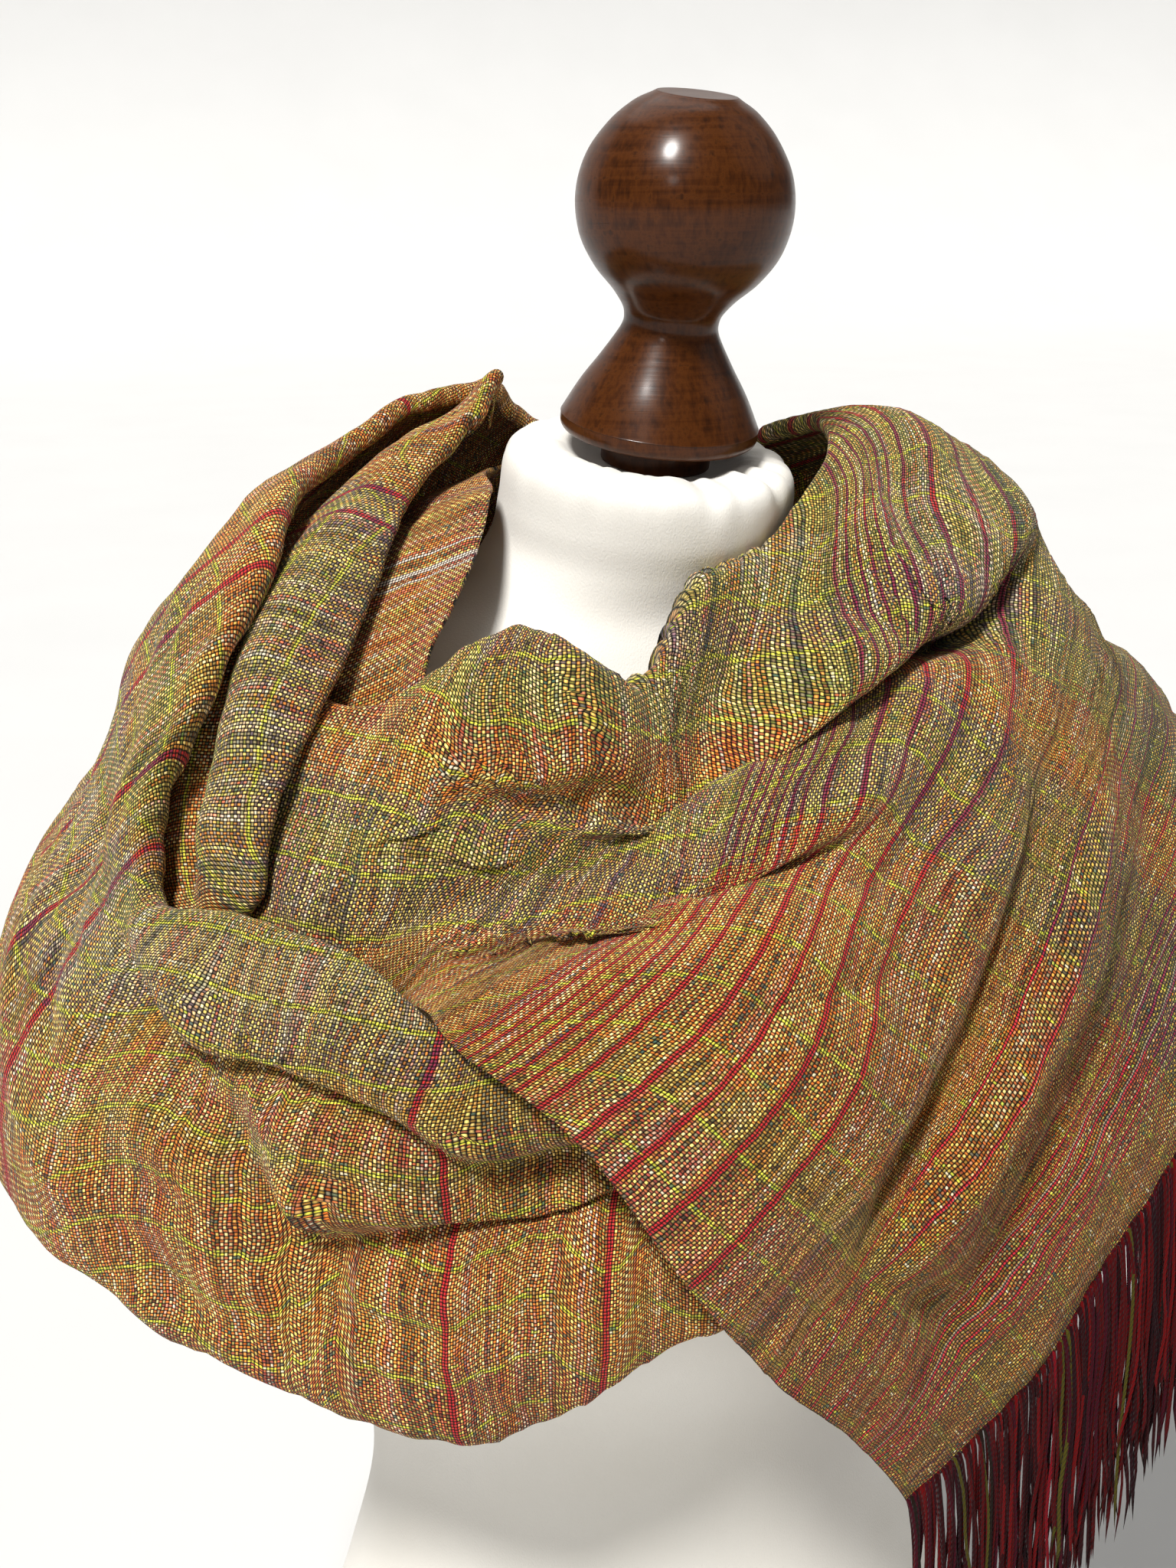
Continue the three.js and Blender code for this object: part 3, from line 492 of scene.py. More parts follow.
# across the back, over the left shoulder and round the lower front, under the panel
loopStretch = {
    "along": 288, "across": 150, "measuredFrom": "upper", "seed": 6,
    "shear": [(300, 22), (400, 55), (450, 87), (500, 121), (550, 143), (590, 149),
              (660, 151), (700, 167), (730, 185), (820, 244)],
    "rows": [
        ([-238, -238, -237, -236, -235], [71, 54, 35, 15, -6], [-16, -20, -20, -18, -18]),
        ([-212, -212, -210, -208, -206], [73, 55.5, 34, 12, -10], [2, -6, -6, -6, -6]),
        ([-180, -180, -180, -180, -180], [74.5, 57.5, 36, 12, -14], [12, 4, 2, 0, 0]),
        ([-152, -154, -156, -158, -160], [75, 57.5, 36, 14, -12], [21, 8, 4, 2, 0]),
        ([-134, -134, -133, -134, -138], [75.5, 60, 40, 18, -6], [29, 10, 4, 4, 4]),
        ([-117, -116, -115, -117, -121], [70.5, 57, 40, 20, -1], [20, 6, 0, 2, 6]),
        ([-97, -99, -101, -105, -110], [63, 50, 36, 20, 2], [6, 4, 2, 2, 8]),
        ([-79, -85, -91, -96, -102], [56, 45, 33, 19, 3], [4, 4, 2, 2, 6]),
        ([-73, -80, -86, -90, -93], [45, 36, 26, 14, 3], [5, 5, 4, 2, 4]),
        ([-74, -80, -83, -85, -86], [36, 28, 19, 10, 2], [6, 8, 6, 4, 2]),
        ([-71, -75, -77, -77, -76], [29, 22, 13, 5, -1.5], [6, 8, 6, 4, 2]),
        ([-61, -63, -65, -65, -64], [29.5, 20, 11, 2, -7], [6, 8, 6, 2, 0]),
        ([-50.5, -51.5, -52, -52, -50.5], [29.8, 19, 8, -3, -13.5], [5, 8, 6, 2, 0]),
        ([-41, -41, -40.5, -40, -39], [24.5, 15, 4, -7, -18], [-3.8, 4, 6, 2, 0]),
        ([-28, -28, -28, -28, -28.5], [19, 9, -1, -9, -17], [-6, -4, 0, 0, -2]),
        ([-10, -11, -12, -12, -12], [12, 4, -2, -6, -10.5], [-8, -8, -6, -6, -6]),
        ([20, 20, 20, 20, 20], [6, 1, -4, -8, -11], [-12, -12, -12, -12, -12]),
        ([58, 58, 58, 58, 58], [4, 0, -4, -8, -11], [-22, -22, -22, -22, -22]),
    ],
    "upperRoll": [3, 3, 4, 4, 4, 4, 5, 5, 5.8, 7, 6, 5, 3, 3, 3, 3, 3, 3],
    "lowerRoll": [6, 6, 6, 6, 6, 6, 6, 6, 6, 7, 8, 9, 10, 10, 9, 7, 5, 5],
    "folds": [
        fold(3.8, 6, (-76, 27.5, 3, 0), (-71, 23.5, 12, 1.8), (-63.5, 19.5, 15, 3.4),
             (-55.5, 20, 15, 3.8), (-47, 17, 18, 3), (-42, 13.5, 18, 2.2), (-38.5, 12, 21, 2.2),
             (-31.5, 13, 25.5, 2.4), (-24, 14, 21, 0.8), raised=0.9),
        fold(3.8, 7, (-67, 19, 3, 0), (-60.5, 12.5, 12, 0.8), (-56.5, 6.5, 18, 1.8),
             (-54, 2.2, 21, 1.2), (-49, 2.8, 21, 0.8), (-41.5, 4.5, 21, 2.6),
             (-31.5, 5.5, 21, 4.2), (-22, 7, 15, 1.6), raised=0.9),
        fold(4, 4, (-92, 41, 3.8), (-85, 34, 7.5), (-79, 29, 7.5), (-75, 27, 2.5)),
        fold(5, 5, (-92, 33, 3.8), (-80, 25, 7.5), (-73, 14, 7.5), (-67, 2, 5), (-64, -6, 2.5)),
        fold(4, 5, (-112, 62, 3.8), (-104, 50, 7.5), (-99, 38, 7.5), (-94, 28, 3.8)),
        fold(5, 6, (-232, 61, 3.8), (-205, 52, 11.2), (-165, 51, 11.2), (-130, 62, 5)),
        fold(5, 6, (-232, 42, 3.8), (-205, 33, 11.2), (-160, 34, 10), (-116, 50, 5)),
        fold(5, 6, (-232, 22, 3.8), (-205, 14, 10), (-158, 16, 10), (-112, 35, 5)),
        fold(4, 5, (-235, 4, 3.8), (-205, -3, 7.5), (-165, -1, 7.5), (-118, 16, 5)),
        fold(2.2, 2.6, (-66, 24, 0), (-58, 24.5, 3), (-50, 22.5, 4), (-44, 19.5, 2)),
        fold(1.8, 3, (-62, 15, 0), (-57, 12.5, 4), (-51, 10, 4.5), (-45, 8.5, 2)),
        fold(2, 2.2, (-58, -3, 0), (-49, -6, 3.5), (-38, -6.5, 3), (-27, -4, 0)),
        fold(2.4, 2.2, (-72, 8, 0), (-68, 0, 3.5), (-61, -6, 3), (-52, -10, 1)),
        fold(1.6, 2, (-84, 31, 0), (-80.5, 24, 3), (-79, 16, 3), (-75, 9, 0)),
        fold(2, 1.8, (-99, 44, 0), (-93, 36, 3), (-90, 28, 2.5), (-88, 22, 0)),
        fold(2.4, 2.4, (-168, 44, 0), (-150, 43, 4), (-134, 51, 4), (-121, 60, 0)),
        fold(2.4, 2, (-222, 28, 0), (-198, 24, 4), (-176, 25, 3), (-160, 22, 0)),
        fold(2, 2.6, (-214, 64, 0), (-190, 63, 4), (-166, 64, 3), (-146, 69, 0)),
        fold(2.2, 2, (-150, 24, 0), (-136, 29, 3), (-122, 40, 3), (-110, 47, 0)),
    ],
}

# from the pocket on the left, across the chest and the right shoulder, to the fringed end
frontStretch = {
    "along": 296, "across": 156, "measuredFrom": "lower", "seed": 7,
    "shear": [(20, 171), (80, 160), (120, 149), (160, 134), (240, 103), (280, 87),
              (320, 74), (380, 65)],
    "rows": [
        ([-73, -73, -72.5, -72, -71, -70], [50, 46, 42, 38, 33, 28],
         [-28, -28, -28, -28, -28, -28]),
        ([-62, -62, -62, -62, -62, -62], [51, 47, 42.5, 38, 33, 28],
         [-21.4, -21, -21, -20, -20, -20]),
        ([-47, -48, -49, -50, -51, -52], [60, 54, 48, 41, 34, 27], [-4, -2, -4, -6, -8, -12]),
        ([-27, -30, -33, -37, -42, -48], [63, 56, 50, 43, 35, 27.4], [4, 4, 2, 0, -2, -12]),
        ([4, -8, -17, -26, -35, -43.5], [73.2, 66, 57, 47, 36, 27.1], [3, 4, 4, 2, 2, 0.3]),
        ([62, 35, 8, -11, -26, -40], [74.7, 69.5, 60, 50.5, 37, 24.5], [0, 4, 6, 4, 4, 4]),
        ([126, 60, 28, 5, -11, -27], [71, 65.5, 56, 44, 29, 16], [3, 6, 2, 2, 6, 6]),
        ([136, 74, 38, 15, 3, -15], [57, 57, 46, 35, 17, -1], [2, 2, -4, 2, 8, 8]),
        ([141, 88, 52, 32, 12, -5], [38, 44, 40, 27, 5, -16], [3, -10, 2, 4, 2, 4]),
        ([142, 96, 57, 36, 18, 8], [16, 32, 27, 9, -14, -29], [5, 2, 8, 6, 2, 2]),
        ([138, 98, 62, 45.5, 34, 21], [-8, 12, 10, -8, -30, -41], [8, 32, 14, 6, 0, 0]),
    ],
    "upperRoll": [3, 3.5, 8, 8, 7, 4, 4, 3, 3, 3, 3],
    "folds": [
        fold(3.7, 5, (-45.5, 45.5, 9, 1), (-36, 52, 21.6, 5.4), (-21, 58, 28.8, 4.6),
             (-10.5, 62.5, 28.8, 1.8), (1, 67, 27, 0.5), (11, 70.5, 18, 0), (24, 74, 5.4, 0),
             raised=0.8),
        fold(2.8, 3.6, (-32, 56, 3, 0), (-28, 58, 12, 1.2), (-24.5, 62, 15, 1.6),
             (-22, 66, 15, 0.8), raised=0.5),
        fold(3.3, 5.5, (-38.5, 45.5, 7.6, 1), (-25, 51.5, 19, 5), (-12, 57, 20.9, 6.4),
             (13, 60.5, 22.8, 6.8), (24, 61.5, 26.6, 6.8), (43, 62.5, 34.2, 6.8),
             (57, 60, 49.4, 6.4), (66, 57, 22.8, 3.6), (76, 53, 3.8, 0), raised=0.8),
        fold(3, 5, (-52, 31, 5.1, 0), (-47, 36, 8.5, 0.8), (-37, 42.5, 11.9, 1.8),
             (-24, 47, 10.2, 2), (-6, 51, 10.2, 1.8), (14, 53.5, 8.5, 1), (30, 55, 5.1, 0),
             raised=0.8),
        fold(4.2, 6, (-39, 30, 5.4, 0), (-34, 36, 14.4, 3.4), (-22, 41, 19.8, 6.6),
             (-12, 45, 21.6, 7), (2, 46.5, 18, 5.2), (17, 46, 12.6, 2), (30, 47, 3.6, 0),
             raised=0.7),
        fold(5, 4, (7, 0, 4.8, 0), (14, 9.5, 12.8, 1.4), (29.5, 28, 17.6, 2.6),
             (42, 38.5, 12.8, 2), (50, 45, 3.2, 0), raised=0.8),
        fold(5, 5, (22, -14, 4.5), (33, 4, 10.5), (44, 18, 12), (56, 30, 9), (66, 38, 3)),
        fold(5, 5, (12, -8, -4.5), (22, 8, -9), (36, 24, -10.5), (48, 35, -6)),
        fold(4, 4, (2, -10, 3.8), (10, -8, 5), (17, -12, 6.2), (24, -20, 2.5)),
        fold(4, 6, (80, 50, 5), (105, 46, 10), (122, 31, 7.5), (134, 12, 2.5)),
        fold(4, 6, (78, 30, 5), (98, 32, 10), (114, 20, 7.5), (126, 4, 3.8)),
        fold(5, 5, (92, 58, -3.8), (110, 56, -7.5), (130, 40, -6.2)),
        fold(2, 2.2, (-47, 52, 0), (-38, 56.5, 3.5), (-29, 60.5, 3), (-22, 65, 0)),
        fold(1.8, 2, (-44, 40.5, 0), (-34, 46, 3), (-22, 50.5, 3.5), (-10, 53.5, 0)),
        fold(1.6, 2.2, (-36, 33, 0), (-27, 37, 3), (-17, 38.5, 3.5), (-5, 40, 0)),
        fold(2, 1.8, (2, 42, 0), (12, 41, 3), (22, 42, 3.5), (32, 45, 0)),
        fold(1.8, 1.8, (-12, 26, 0), (-2, 29, 2.5), (10, 30, 3), (20, 34, 0)),
        fold(1.6, 1.8, (34, 20, 0), (42, 27, 3.5), (50, 33, 4), (58, 37, 0)),
        fold(1.6, 1.6, (30, 10, 0), (38, 17, 3), (45, 24, 3), (50, 28, 0)),
        fold(1.8, 1.6, (18, -4, 0), (25, 4, 3), (32, 11, 3), (38, 16, 0)),
        fold(2.2, 2.2, (26, 66, 0), (44, 68, 3.5), (62, 66, 3.5), (80, 62, 0)),
        fold(2.4, 2.4, (64, 46, 0), (78, 43, 4), (92, 38, 4), (104, 30, 0)),
        fold(2.2, 2.4, (112, 60, 0), (124, 48, 4), (131, 36, 3.5), (136, 22, 0)),
        fold(2, 2, (84, 20, 0), (96, 20, 3.5), (108, 14, 3.5), (116, 4, 0)),
    ],
}

bandPiece, _, _ = drapedCloth("innerBand", innerBand)
foldPiece, _, _ = drapedCloth("shoulderFold", shoulderFold)
loopPiece, loopPoints, loopOrder = drapedCloth("loopStretch", loopStretch)
frontPiece, frontPoints, frontOrder = drapedCloth("frontStretch", frontStretch)

# the weave: warp along the scarf in bands of rust, olive and grey with lime lines, a pale weft
# that changes colour from pick to pick, and red picks near the fringed end

weave = {
    "pitch": 1.25,          # mm from one yarn to the next, both ways
    "spread": 640.0,        # mm of width that a list of bands covers
    "sway": (2.2, 1.8),     # mm that picks and ends wander
    "loose": -0.22,         # how much less beaten the picks are past looseFrom
    "underWarp": 0.12, "overWarp": 0.84,    # share of weft colour where warp or weft is on top
    # the next pair paints shade on the yarns: lighter bead middles, dark gaps between yarns
    "gap": (1.72, -0.3),    # how light a bead's middle is, and how dark the gaps are
    "fleck": 0.94,          # chance below which a crossing has no fleck
    "fuzz": 0.3, "cockle": 2.4, "bump": 0.0005,
    "rust": (198, 92, 20), "brick": (158, 50, 18), "olive": (98, 104, 18),
    "slate": (88, 76, 88), "moss": (98, 120, 48), "sand": (156, 112, 32),
    "ash": (140, 140, 122), "rose": (178, 66, 50), "lime": (208, 206, 66),
    "red": (190, 34, 44), "crimson": (196, 36, 54), "dust": (176, 158, 136),
    # the third colour on the next line is the tint of the darkening towards the fringed end:
    # partly a darker weft, partly painted shade where the light falls off
    "pale": (226, 216, 200), "purple": (112, 34, 74), "darkWeftAndShade": (210, 204, 168),
    "limeShade": (136, 140, 44),
}

# for each stretch: bands of warp as (mm across, colour); how far the bands drift, as (mm of
# drift, from mm along, to mm along); how strong the lime lines are, how many mm apart, and from
# where they break up; from where the picks are looser; and the darkening towards the fringed
# end, partly a darker weft and partly painted shade where the light falls off, as (from, to,
# how much)
evenCloth = {"limeEvery": 21.3, "limeFades": 2000, "looseFrom": 2000}    # past every end
frontBands = {"bands": [(0, "rose"), (34, "sand"), (56, "rust"), (74, "brick"), (90, "rust"),
                        (150, "brick"), (178, "slate"), (206, "moss"), (220, "slate"),
                        (238, "rust"), (262, "brick"), (274, "moss"), (300, "slate"),
                        (316, "moss"), (336, "ash"), (350, "moss"), (400, "olive")],
              "drift": (-75, 70, 300), "lime": 1.0, "limeEvery": 23.3, "limeFades": 330,
              "looseFrom": 320, "darkWeftAndShade": (300, 520, 0.9)}
loopBands = {"bands": [(0, "rust"), (80, "sand"), (100, "moss"), (118, "sand"), (134, "slate"),
                       (150, "moss"), (164, "ash"), (194, "slate"), (206, "sand"),
                       (216, "sand"), (230, "rose"), (244, "sand"), (262, "rust"),
                       (278, "brick"), (290, "rust"), (332, "rose"), (354, "brick"),
                       (376, "slate"), (420, "olive"), (480, "rust"), (540, "moss")],
             "drift": (-45, 590, 500), "lime": 1.0, **evenCloth}
foldBands = {"bands": [(0, "rust"), (28, "slate"), (38, "moss"), (46, "ash"), (60, "slate"),
                       (72, "rust"), (110, "rust"), (150, "brick")],
             "drift": (60, 110, 70), "lime": 0.9, **evenCloth}
innerBands = {"bands": [(0, "rust"), (34, "brick"), (58, "rust"), (76, "rose")],
              "drift": (0, 0, 1), "lime": 0.0, **evenCloth}


def weaveShader(name, cloth, stripes):
    # plain weave counted out along the cloth's own length and width, in picks and ends
    w = Shader(name, {"Roughness": 0.9, "Sheen Weight": 0.12, "Sheen Roughness": 0.5,
                      "Specular IOR Level": 0.12})
    layer = w.node("ShaderNodeUVMap", uv_map="cloth")
    parts = w.tree.nodes.new("ShaderNodeSeparateXYZ")
    w.put(parts.inputs[0], layer)
    u = w.times(parts.outputs[0], 1000)     # mm along
    v = w.times(parts.outputs[1], 1000)     # mm across
    # yarns wander a little
    wander = w.noise(layer, 75, 2)
    past = w.math("MAXIMUM", w.math("SUBTRACT", u, cloth["looseFrom"]), 0.0)
    beaten = w.scaled(past, weave["loose"], u)     # picks lie further apart there
    x = w.math("DIVIDE", w.scaled(wander, weave["sway"][0], beaten), weave["pitch"])
    y = w.math("DIVIDE", w.scaled(wander, weave["sway"][1], v), weave["pitch"])
    pick, end = w.math("FLOOR", x), w.math("FLOOR", y)
    weftUp = w.math("MODULO", w.math("ADD", w.math("ADD", pick, end), 20000), 2.0)

    # a bead of yarn in each cell, longer along the yarn that is on top
    humpU = w.math("SINE", w.times(w.math("FRACT", x), math.pi))
    humpV = w.math("SINE", w.times(w.math("FRACT", y), math.pi))
    warpBead = w.times(w.math("POWER", humpU, 0.5), w.math("POWER", humpV, 1.2))
    weftBead = w.times(w.math("POWER", humpU, 1.2), w.math("POWER", humpV, 0.4))
    bead = w.node("ShaderNodeMix", {0: weftUp, 2: warpBead, 3: weftBead}, data_type="FLOAT")

    # chances for each end, each pick and each crossing
    def chance(a, b):
        return w.node("ShaderNodeTexWhiteNoise", {"Vector": w.pair(a, b)},
                      noise_dimensions="2D")

    endLuck, pickLuck, cellLuck = chance(end, 7.5), chance(pick, 3.5), chance(pick, end)

    # warp: bands with ends of their neighbours' colours strewn in
    far, start, stop = cloth["drift"]
    drifted = w.span(u, start, stop, 0.0, far, interpolation_type="SMOOTHSTEP")
    across = w.math("ADD", v, drifted)
    strewn = w.scaled(endLuck, 16, w.scaled(wander, 10, -13))
    at = w.math("DIVIDE", w.math("ADD", across, strewn), weave["spread"])
    bands = [(start / weave["spread"], key) for start, key in cloth["bands"]]
    warp = w.steps(at, [(start, weave[key]) for start, key in bands], "CONSTANT")
    white, black = (255,) * 3, (0,) * 3
    cool = w.steps(at, [(start, white if key in ("slate", "moss") else black)
                        for start, key in bands], "CONSTANT")
    tints = w.steps(endLuck, [(0.0, (150, 62, 30)), (0.2, (168, 140, 60)),
                              (0.4, (84, 74, 60)), (0.56, (206, 116, 44)),
                              (0.76, (92, 66, 76)), (0.9, (58, 84, 70))], "CONSTANT")
    warp = w.mix(0.24, warp, tints)
    # lime ends at even distances, floating and diving in broken lengths
    lineAt = w.math("PINGPONG", w.scaled(w.noise(layer, 16, 1), 9.0, across),
                    cloth["limeEvery"] / 2)
    broken = w.span(u, cloth["limeFades"], cloth["limeFades"] + 90, 0.46, 0.56)
    limeBreaks = w.math("GREATER_THAN", w.noise(w.pair(w.times(u, 0.16), end), 1.0, 2), broken)
    limeLine = w.times(w.math("LESS_THAN", w.scaled(pickLuck, 0.5, lineAt), 1.0), limeBreaks)
    limeHalo = w.math("LESS_THAN", w.scaled(cellLuck, 2.4, lineAt), 2.7)

    # weft: groups of picks share a colour, which drifts slowly along the yarn
    along = w.pair(w.times(pick, 0.2), w.times(v, 0.0035))
    mood = w.scaled(pickLuck, 0.16, w.scaled(w.noise(along, 1.0, 3, 0.65), 1.45, -0.3))
    weft = w.steps(mood, [(0.0, (70, 84, 72)), (0.28, (140, 128, 96)),
                          (0.34, (206, 172, 84)), (0.4, (244, 220, 122)),
                          (0.46, (240, 202, 106)), (0.5, (230, 138, 58)),
                          (0.53, (242, 206, 116)), (0.58, (250, 228, 160)),
                          (0.62, (220, 108, 70)), (0.66, (242, 226, 192)),
                          (0.71, (210, 164, 70)), (0.78, (140, 106, 112)),
                          (1.0, (72, 48, 66))])
    group = w.noise(w.times(pick, 0.13), 1.0, 3, 0.7, kind="1D")
    weft = w.dimmed(weft, w.scaled(chance(pick, 11.5), 0.46, w.scaled(group, 1.7, -0.2)))

    made = w.mix(w.scaled(weftUp, weave["overWarp"], weave["underWarp"]), warp, weft)
    # towards the fringed end the cloth darkens: partly a darker weft, partly painted shade where
    # the light falls off
    if "darkWeftAndShade" in cloth:
        start, stop, most = cloth["darkWeftAndShade"]
        fade = w.span(u, start, stop, 0.0, most)
        made = w.mix(fade, made, w.mix(1.0, made, solid(*weave["darkWeftAndShade"]), "MULTIPLY"))
    made = w.mix(w.times(limeHalo, 0.3 * cloth["lime"]), made, solid(*weave["limeShade"]))
    made = w.mix(w.times(limeLine, 0.84 * cloth["lime"]), made, solid(*weave["lime"]))
    made = w.dimmed(made, w.scaled(cellLuck, 0.8, 0.62))
    # single crossings of teal, cream or dark yarn
    fleck = w.math("GREATER_THAN", chance(w.math("ADD", pick, 51.5), end), weave["fleck"])
    fleckColour = w.steps(endLuck, [(0.0, (44, 92, 84)), (0.3, (238, 226, 190)),
                                    (0.5, (52, 34, 30)), (0.85, (176, 190, 60))],
                          "CONSTANT")
    made = w.mix(w.times(fleck, 0.75), made, fleckColour)

    # red picks, purple where they cross the grey bands
    swayed = w.scaled(wander, weave["sway"][0], u)
    for middle, width, tone in stripes:
        near = w.math("ABSOLUTE", w.math("SUBTRACT", swayed, middle))
        inside = w.math("LESS_THAN", near, width / 2)
        over = solid(*weave[tone])
        if tone not in ("pale", "dust"):
            over = w.mix(w.times(cool, 0.75), over, solid(*weave["purple"]))
        over = w.mix(w.times(weftUp, -0.3), over, made)
        amount = w.times(inside, w.scaled(weftUp, 0.22, 0.76))
        made = w.mix(amount, made, over)

    # painted shade: each yarn's bead is lighter in its middle and dark in the gaps between yarns
    made = w.dimmed(made, w.scaled(bead, *weave["gap"]))
    fuzz = w.noise(layer, 2600, 2)
    cockle = w.noise(layer, 120, 2)
    height = w.math("ADD", w.scaled(fuzz, weave["fuzz"], bead), w.times(cockle, weave["cockle"]))
    w.feed({"Base Color": made, "Normal": w.bump(height, weave["bump"], 0.8)})
    return w.material


# row of the table where each group of red picks starts, then its spacing, count and width
redGroups = [
    {"row": 5.0, "spacing": 6.4, "count": 7, "width": 1.6, "tone": "red"},
    *({"row": row, "spacing": 20, "count": 1, "width": 2.3, "tone": "red"}
      for row in (5.72, 6.0, 6.3, 6.62, 7.0)),
    {"row": 8.1, "spacing": 17, "count": 6, "width": 1.5, "tone": "crimson"},
    {"row": 9.15, "spacing": 6.5, "count": 8, "width": 1.5, "tone": "crimson"},
    {"row": 9.22, "spacing": 13, "count": 2, "width": 1.2, "tone": "dust"},
]
frontGone = runAlong(frontPoints)
frontStripes = [(float(np.interp(group["row"], frontOrder, frontGone)) + k * group["spacing"],
                 group["width"], group["tone"]) for group in redGroups
                for k in range(group["count"])]
loopGone = runAlong(loopPoints)
loopStripes = [(float(np.interp(row, loopOrder, loopGone)), 2.8, "red")
               for row in (5.1, 8.75, 9.6, 12.95, 14.3)] + [(440, 2.6, "red"), (459, 3, "red")]
foldStripes = [(94, 2.6, "crimson"), (110, 2.0, "crimson")]
bandStripes = [(166, 2.6, "pale"), (171, 1.3, "pale"), (158, 1.3, "pale")]
for piece, cloth, stripes in [(frontPiece, frontBands, frontStripes),
                              (loopPiece, loopBands, loopStripes),
                              (foldPiece, foldBands, foldStripes),
                              (bandPiece, innerBands, bandStripes)]:
    piece.data.materials.append(weaveShader(piece.name + "Weave", cloth, stripes))
print("weave done")

# the jersey form: rings of the CAD body with a smooth run between them

formRings = [   # height, half width, half depth, centre in y, share of the neck's lean
    (0, 1, 1, 0, 0), (0, 80, 60, 0, 0), (0, 146, 104, 0, 0), (2, 150, 108, 0, 0),
    (8, 154, 111, 0, 0), (60, 168, 118, 0, 0), (120, 162, 114, 0, 0),
    (190, 139, 101, 0, 0), (250, 124, 94, 0, 0), (310, 128, 98, 0, 0), (370, 140, 112, -8, 0),
    (430, 150, 124, -16, 0), (480, 156, 118, -14, 0), (530, 166, 102, -6, 0),
    (570, 176, 86, 0, 0), (595, 172, 74, 2, 0), (612, 146, 68, 3, 0), (628, 110, 62, 3, 0),
    (644, 78, 58, 2, 0.3), (662, 62, 57, -2, 0.7), (678, 58.5, 57, -7, 0.9),
    (694, 57, 57, -11, 1), (700, 52, 52, -13, 1), (701.2, 42, 42, -14, 1),
    (700.6, 36, 36, -14, 1), (697, 30, 30, -14, 1), (695, 24, 24, -14, 1),
    (695, 12, 12, -14, 1), (695, 1, 1, -14, 1),
]
lean = {"side": 3.5, "forward": 9}      # degrees that the neck tips
neckTop = {"height": 701.2, "gatherAt": 699, "gatherWide": 9, "deep": 2.6}


def jerseyForm(around=180, perRing=8):
    # ellipses whose sizes follow the ring table, tipped with the neck; small gathers round its top
    steps = np.linspace(0, len(formRings) - 1, (len(formRings) - 1) * perRing + 1)
    rings = curve(np.array(formRings, float), steps)
    z, wide, deep, y, tip = (rings[:, k, None] for k in range(5))
    z = np.clip(z, 0, neckTop["height"])
    wide, deep = np.maximum(wide, 0), np.maximum(deep, 0)
    a = np.linspace(0, 2 * math.pi, around, endpoint=False)[None]
    gather = (np.exp(-((z - neckTop["gatherAt"]) / neckTop["gatherWide"]) ** 2)
              * np.clip((wide - 26) / 12, 0, 1))
    gather = gather * (0.25 + 0.75 * np.exp(-((a + 1.15 - 2 * math.pi) / 0.75) ** 2))
    pleats = (np.abs(np.sin(a * 9 + 2.3 * np.sin(a * 3 + 1))) ** 0.8 + 0.3 * np.sin(a * 19 + 2)
              + 0.12 * np.sin(a * 31))
    lowered = gather * (1 - pleats) * neckTop["deep"]
    swell = 1 - lowered / 70
    px, py = wide * np.cos(a) * swell, deep * np.sin(a) * swell
    tipped = tip * (py * math.tan(math.radians(lean["forward"]))
                    - px * math.tan(math.radians(lean["side"])))
    pz = z - lowered * np.clip((z - 690) / 10, 0, 1) + tipped
    whole = np.stack([px, y + py, pz], axis=-1)
    return whole.reshape(-1, 3), gridFaces(*whole.shape[:2], closed=True)[:, ::-1]


def closed(piece, near=0.02):
    # joins the points that meet at a pole or a seam
    work = bmesh.new()
    work.from_mesh(piece.data)
    bmesh.ops.remove_doubles(work, verts=work.verts, dist=near * mm)
    work.to_mesh(piece.data)
    work.free()
    return piece


formPiece = closed(newPiece("jerseyForm", *jerseyForm()))
jersey = Shader("creamJersey", {"Roughness": 0.82, "Sheen Weight": 0.2,
                                "Specular IOR Level": 0.25})
where = jersey.node("ShaderNodeTexCoord", out=3)
cloudy = jersey.noise(where, 9, 3)
cream = jersey.steps(cloudy, [(0.3, (232, 228, 219)), (0.7, (241, 238, 231))])
stitch = jersey.noise(jersey.stretched(where, 1500, 1500, 900), 1.0, 1)
pull = jersey.noise(jersey.stretched(where, 36, 36, 9), 1.0, 2)
fine = jersey.bump(stitch, 0.00025, 0.5)
jersey.feed({"Base Color": cream, "Normal": jersey.bump(pull, 0.0016, 0.3, fine)})
formPiece.data.materials.append(jersey.material)
print("form done")

# the neck knob, turned about an axis that leans with the neck

knob = {
    "foot": (2, -14, 701.5), "around": 128, "perStep": 6,
    "outline": [   # height up the axis, radius
        (-6.2, 0), (-6.2, 18), (-6, 21), (-4, 21.5), (3.6, 21.5), (4.6, 23), (4.4, 32), (4.8, 36),
        (7, 38.4), (11, 38.6), (12.2, 38.2), (23, 32.6), (33, 26.2), (42, 20.8), (46.5, 18.6),
        (50, 18.2), (54, 19.4), (60, 24), (68, 31.8), (79, 38.4), (93, 41), (107, 38.5),
        (119, 31.4), (127, 23.4), (130.8, 17), (131.6, 15.6), (132, 14.2), (132, 7), (132, 0),
    ],
}


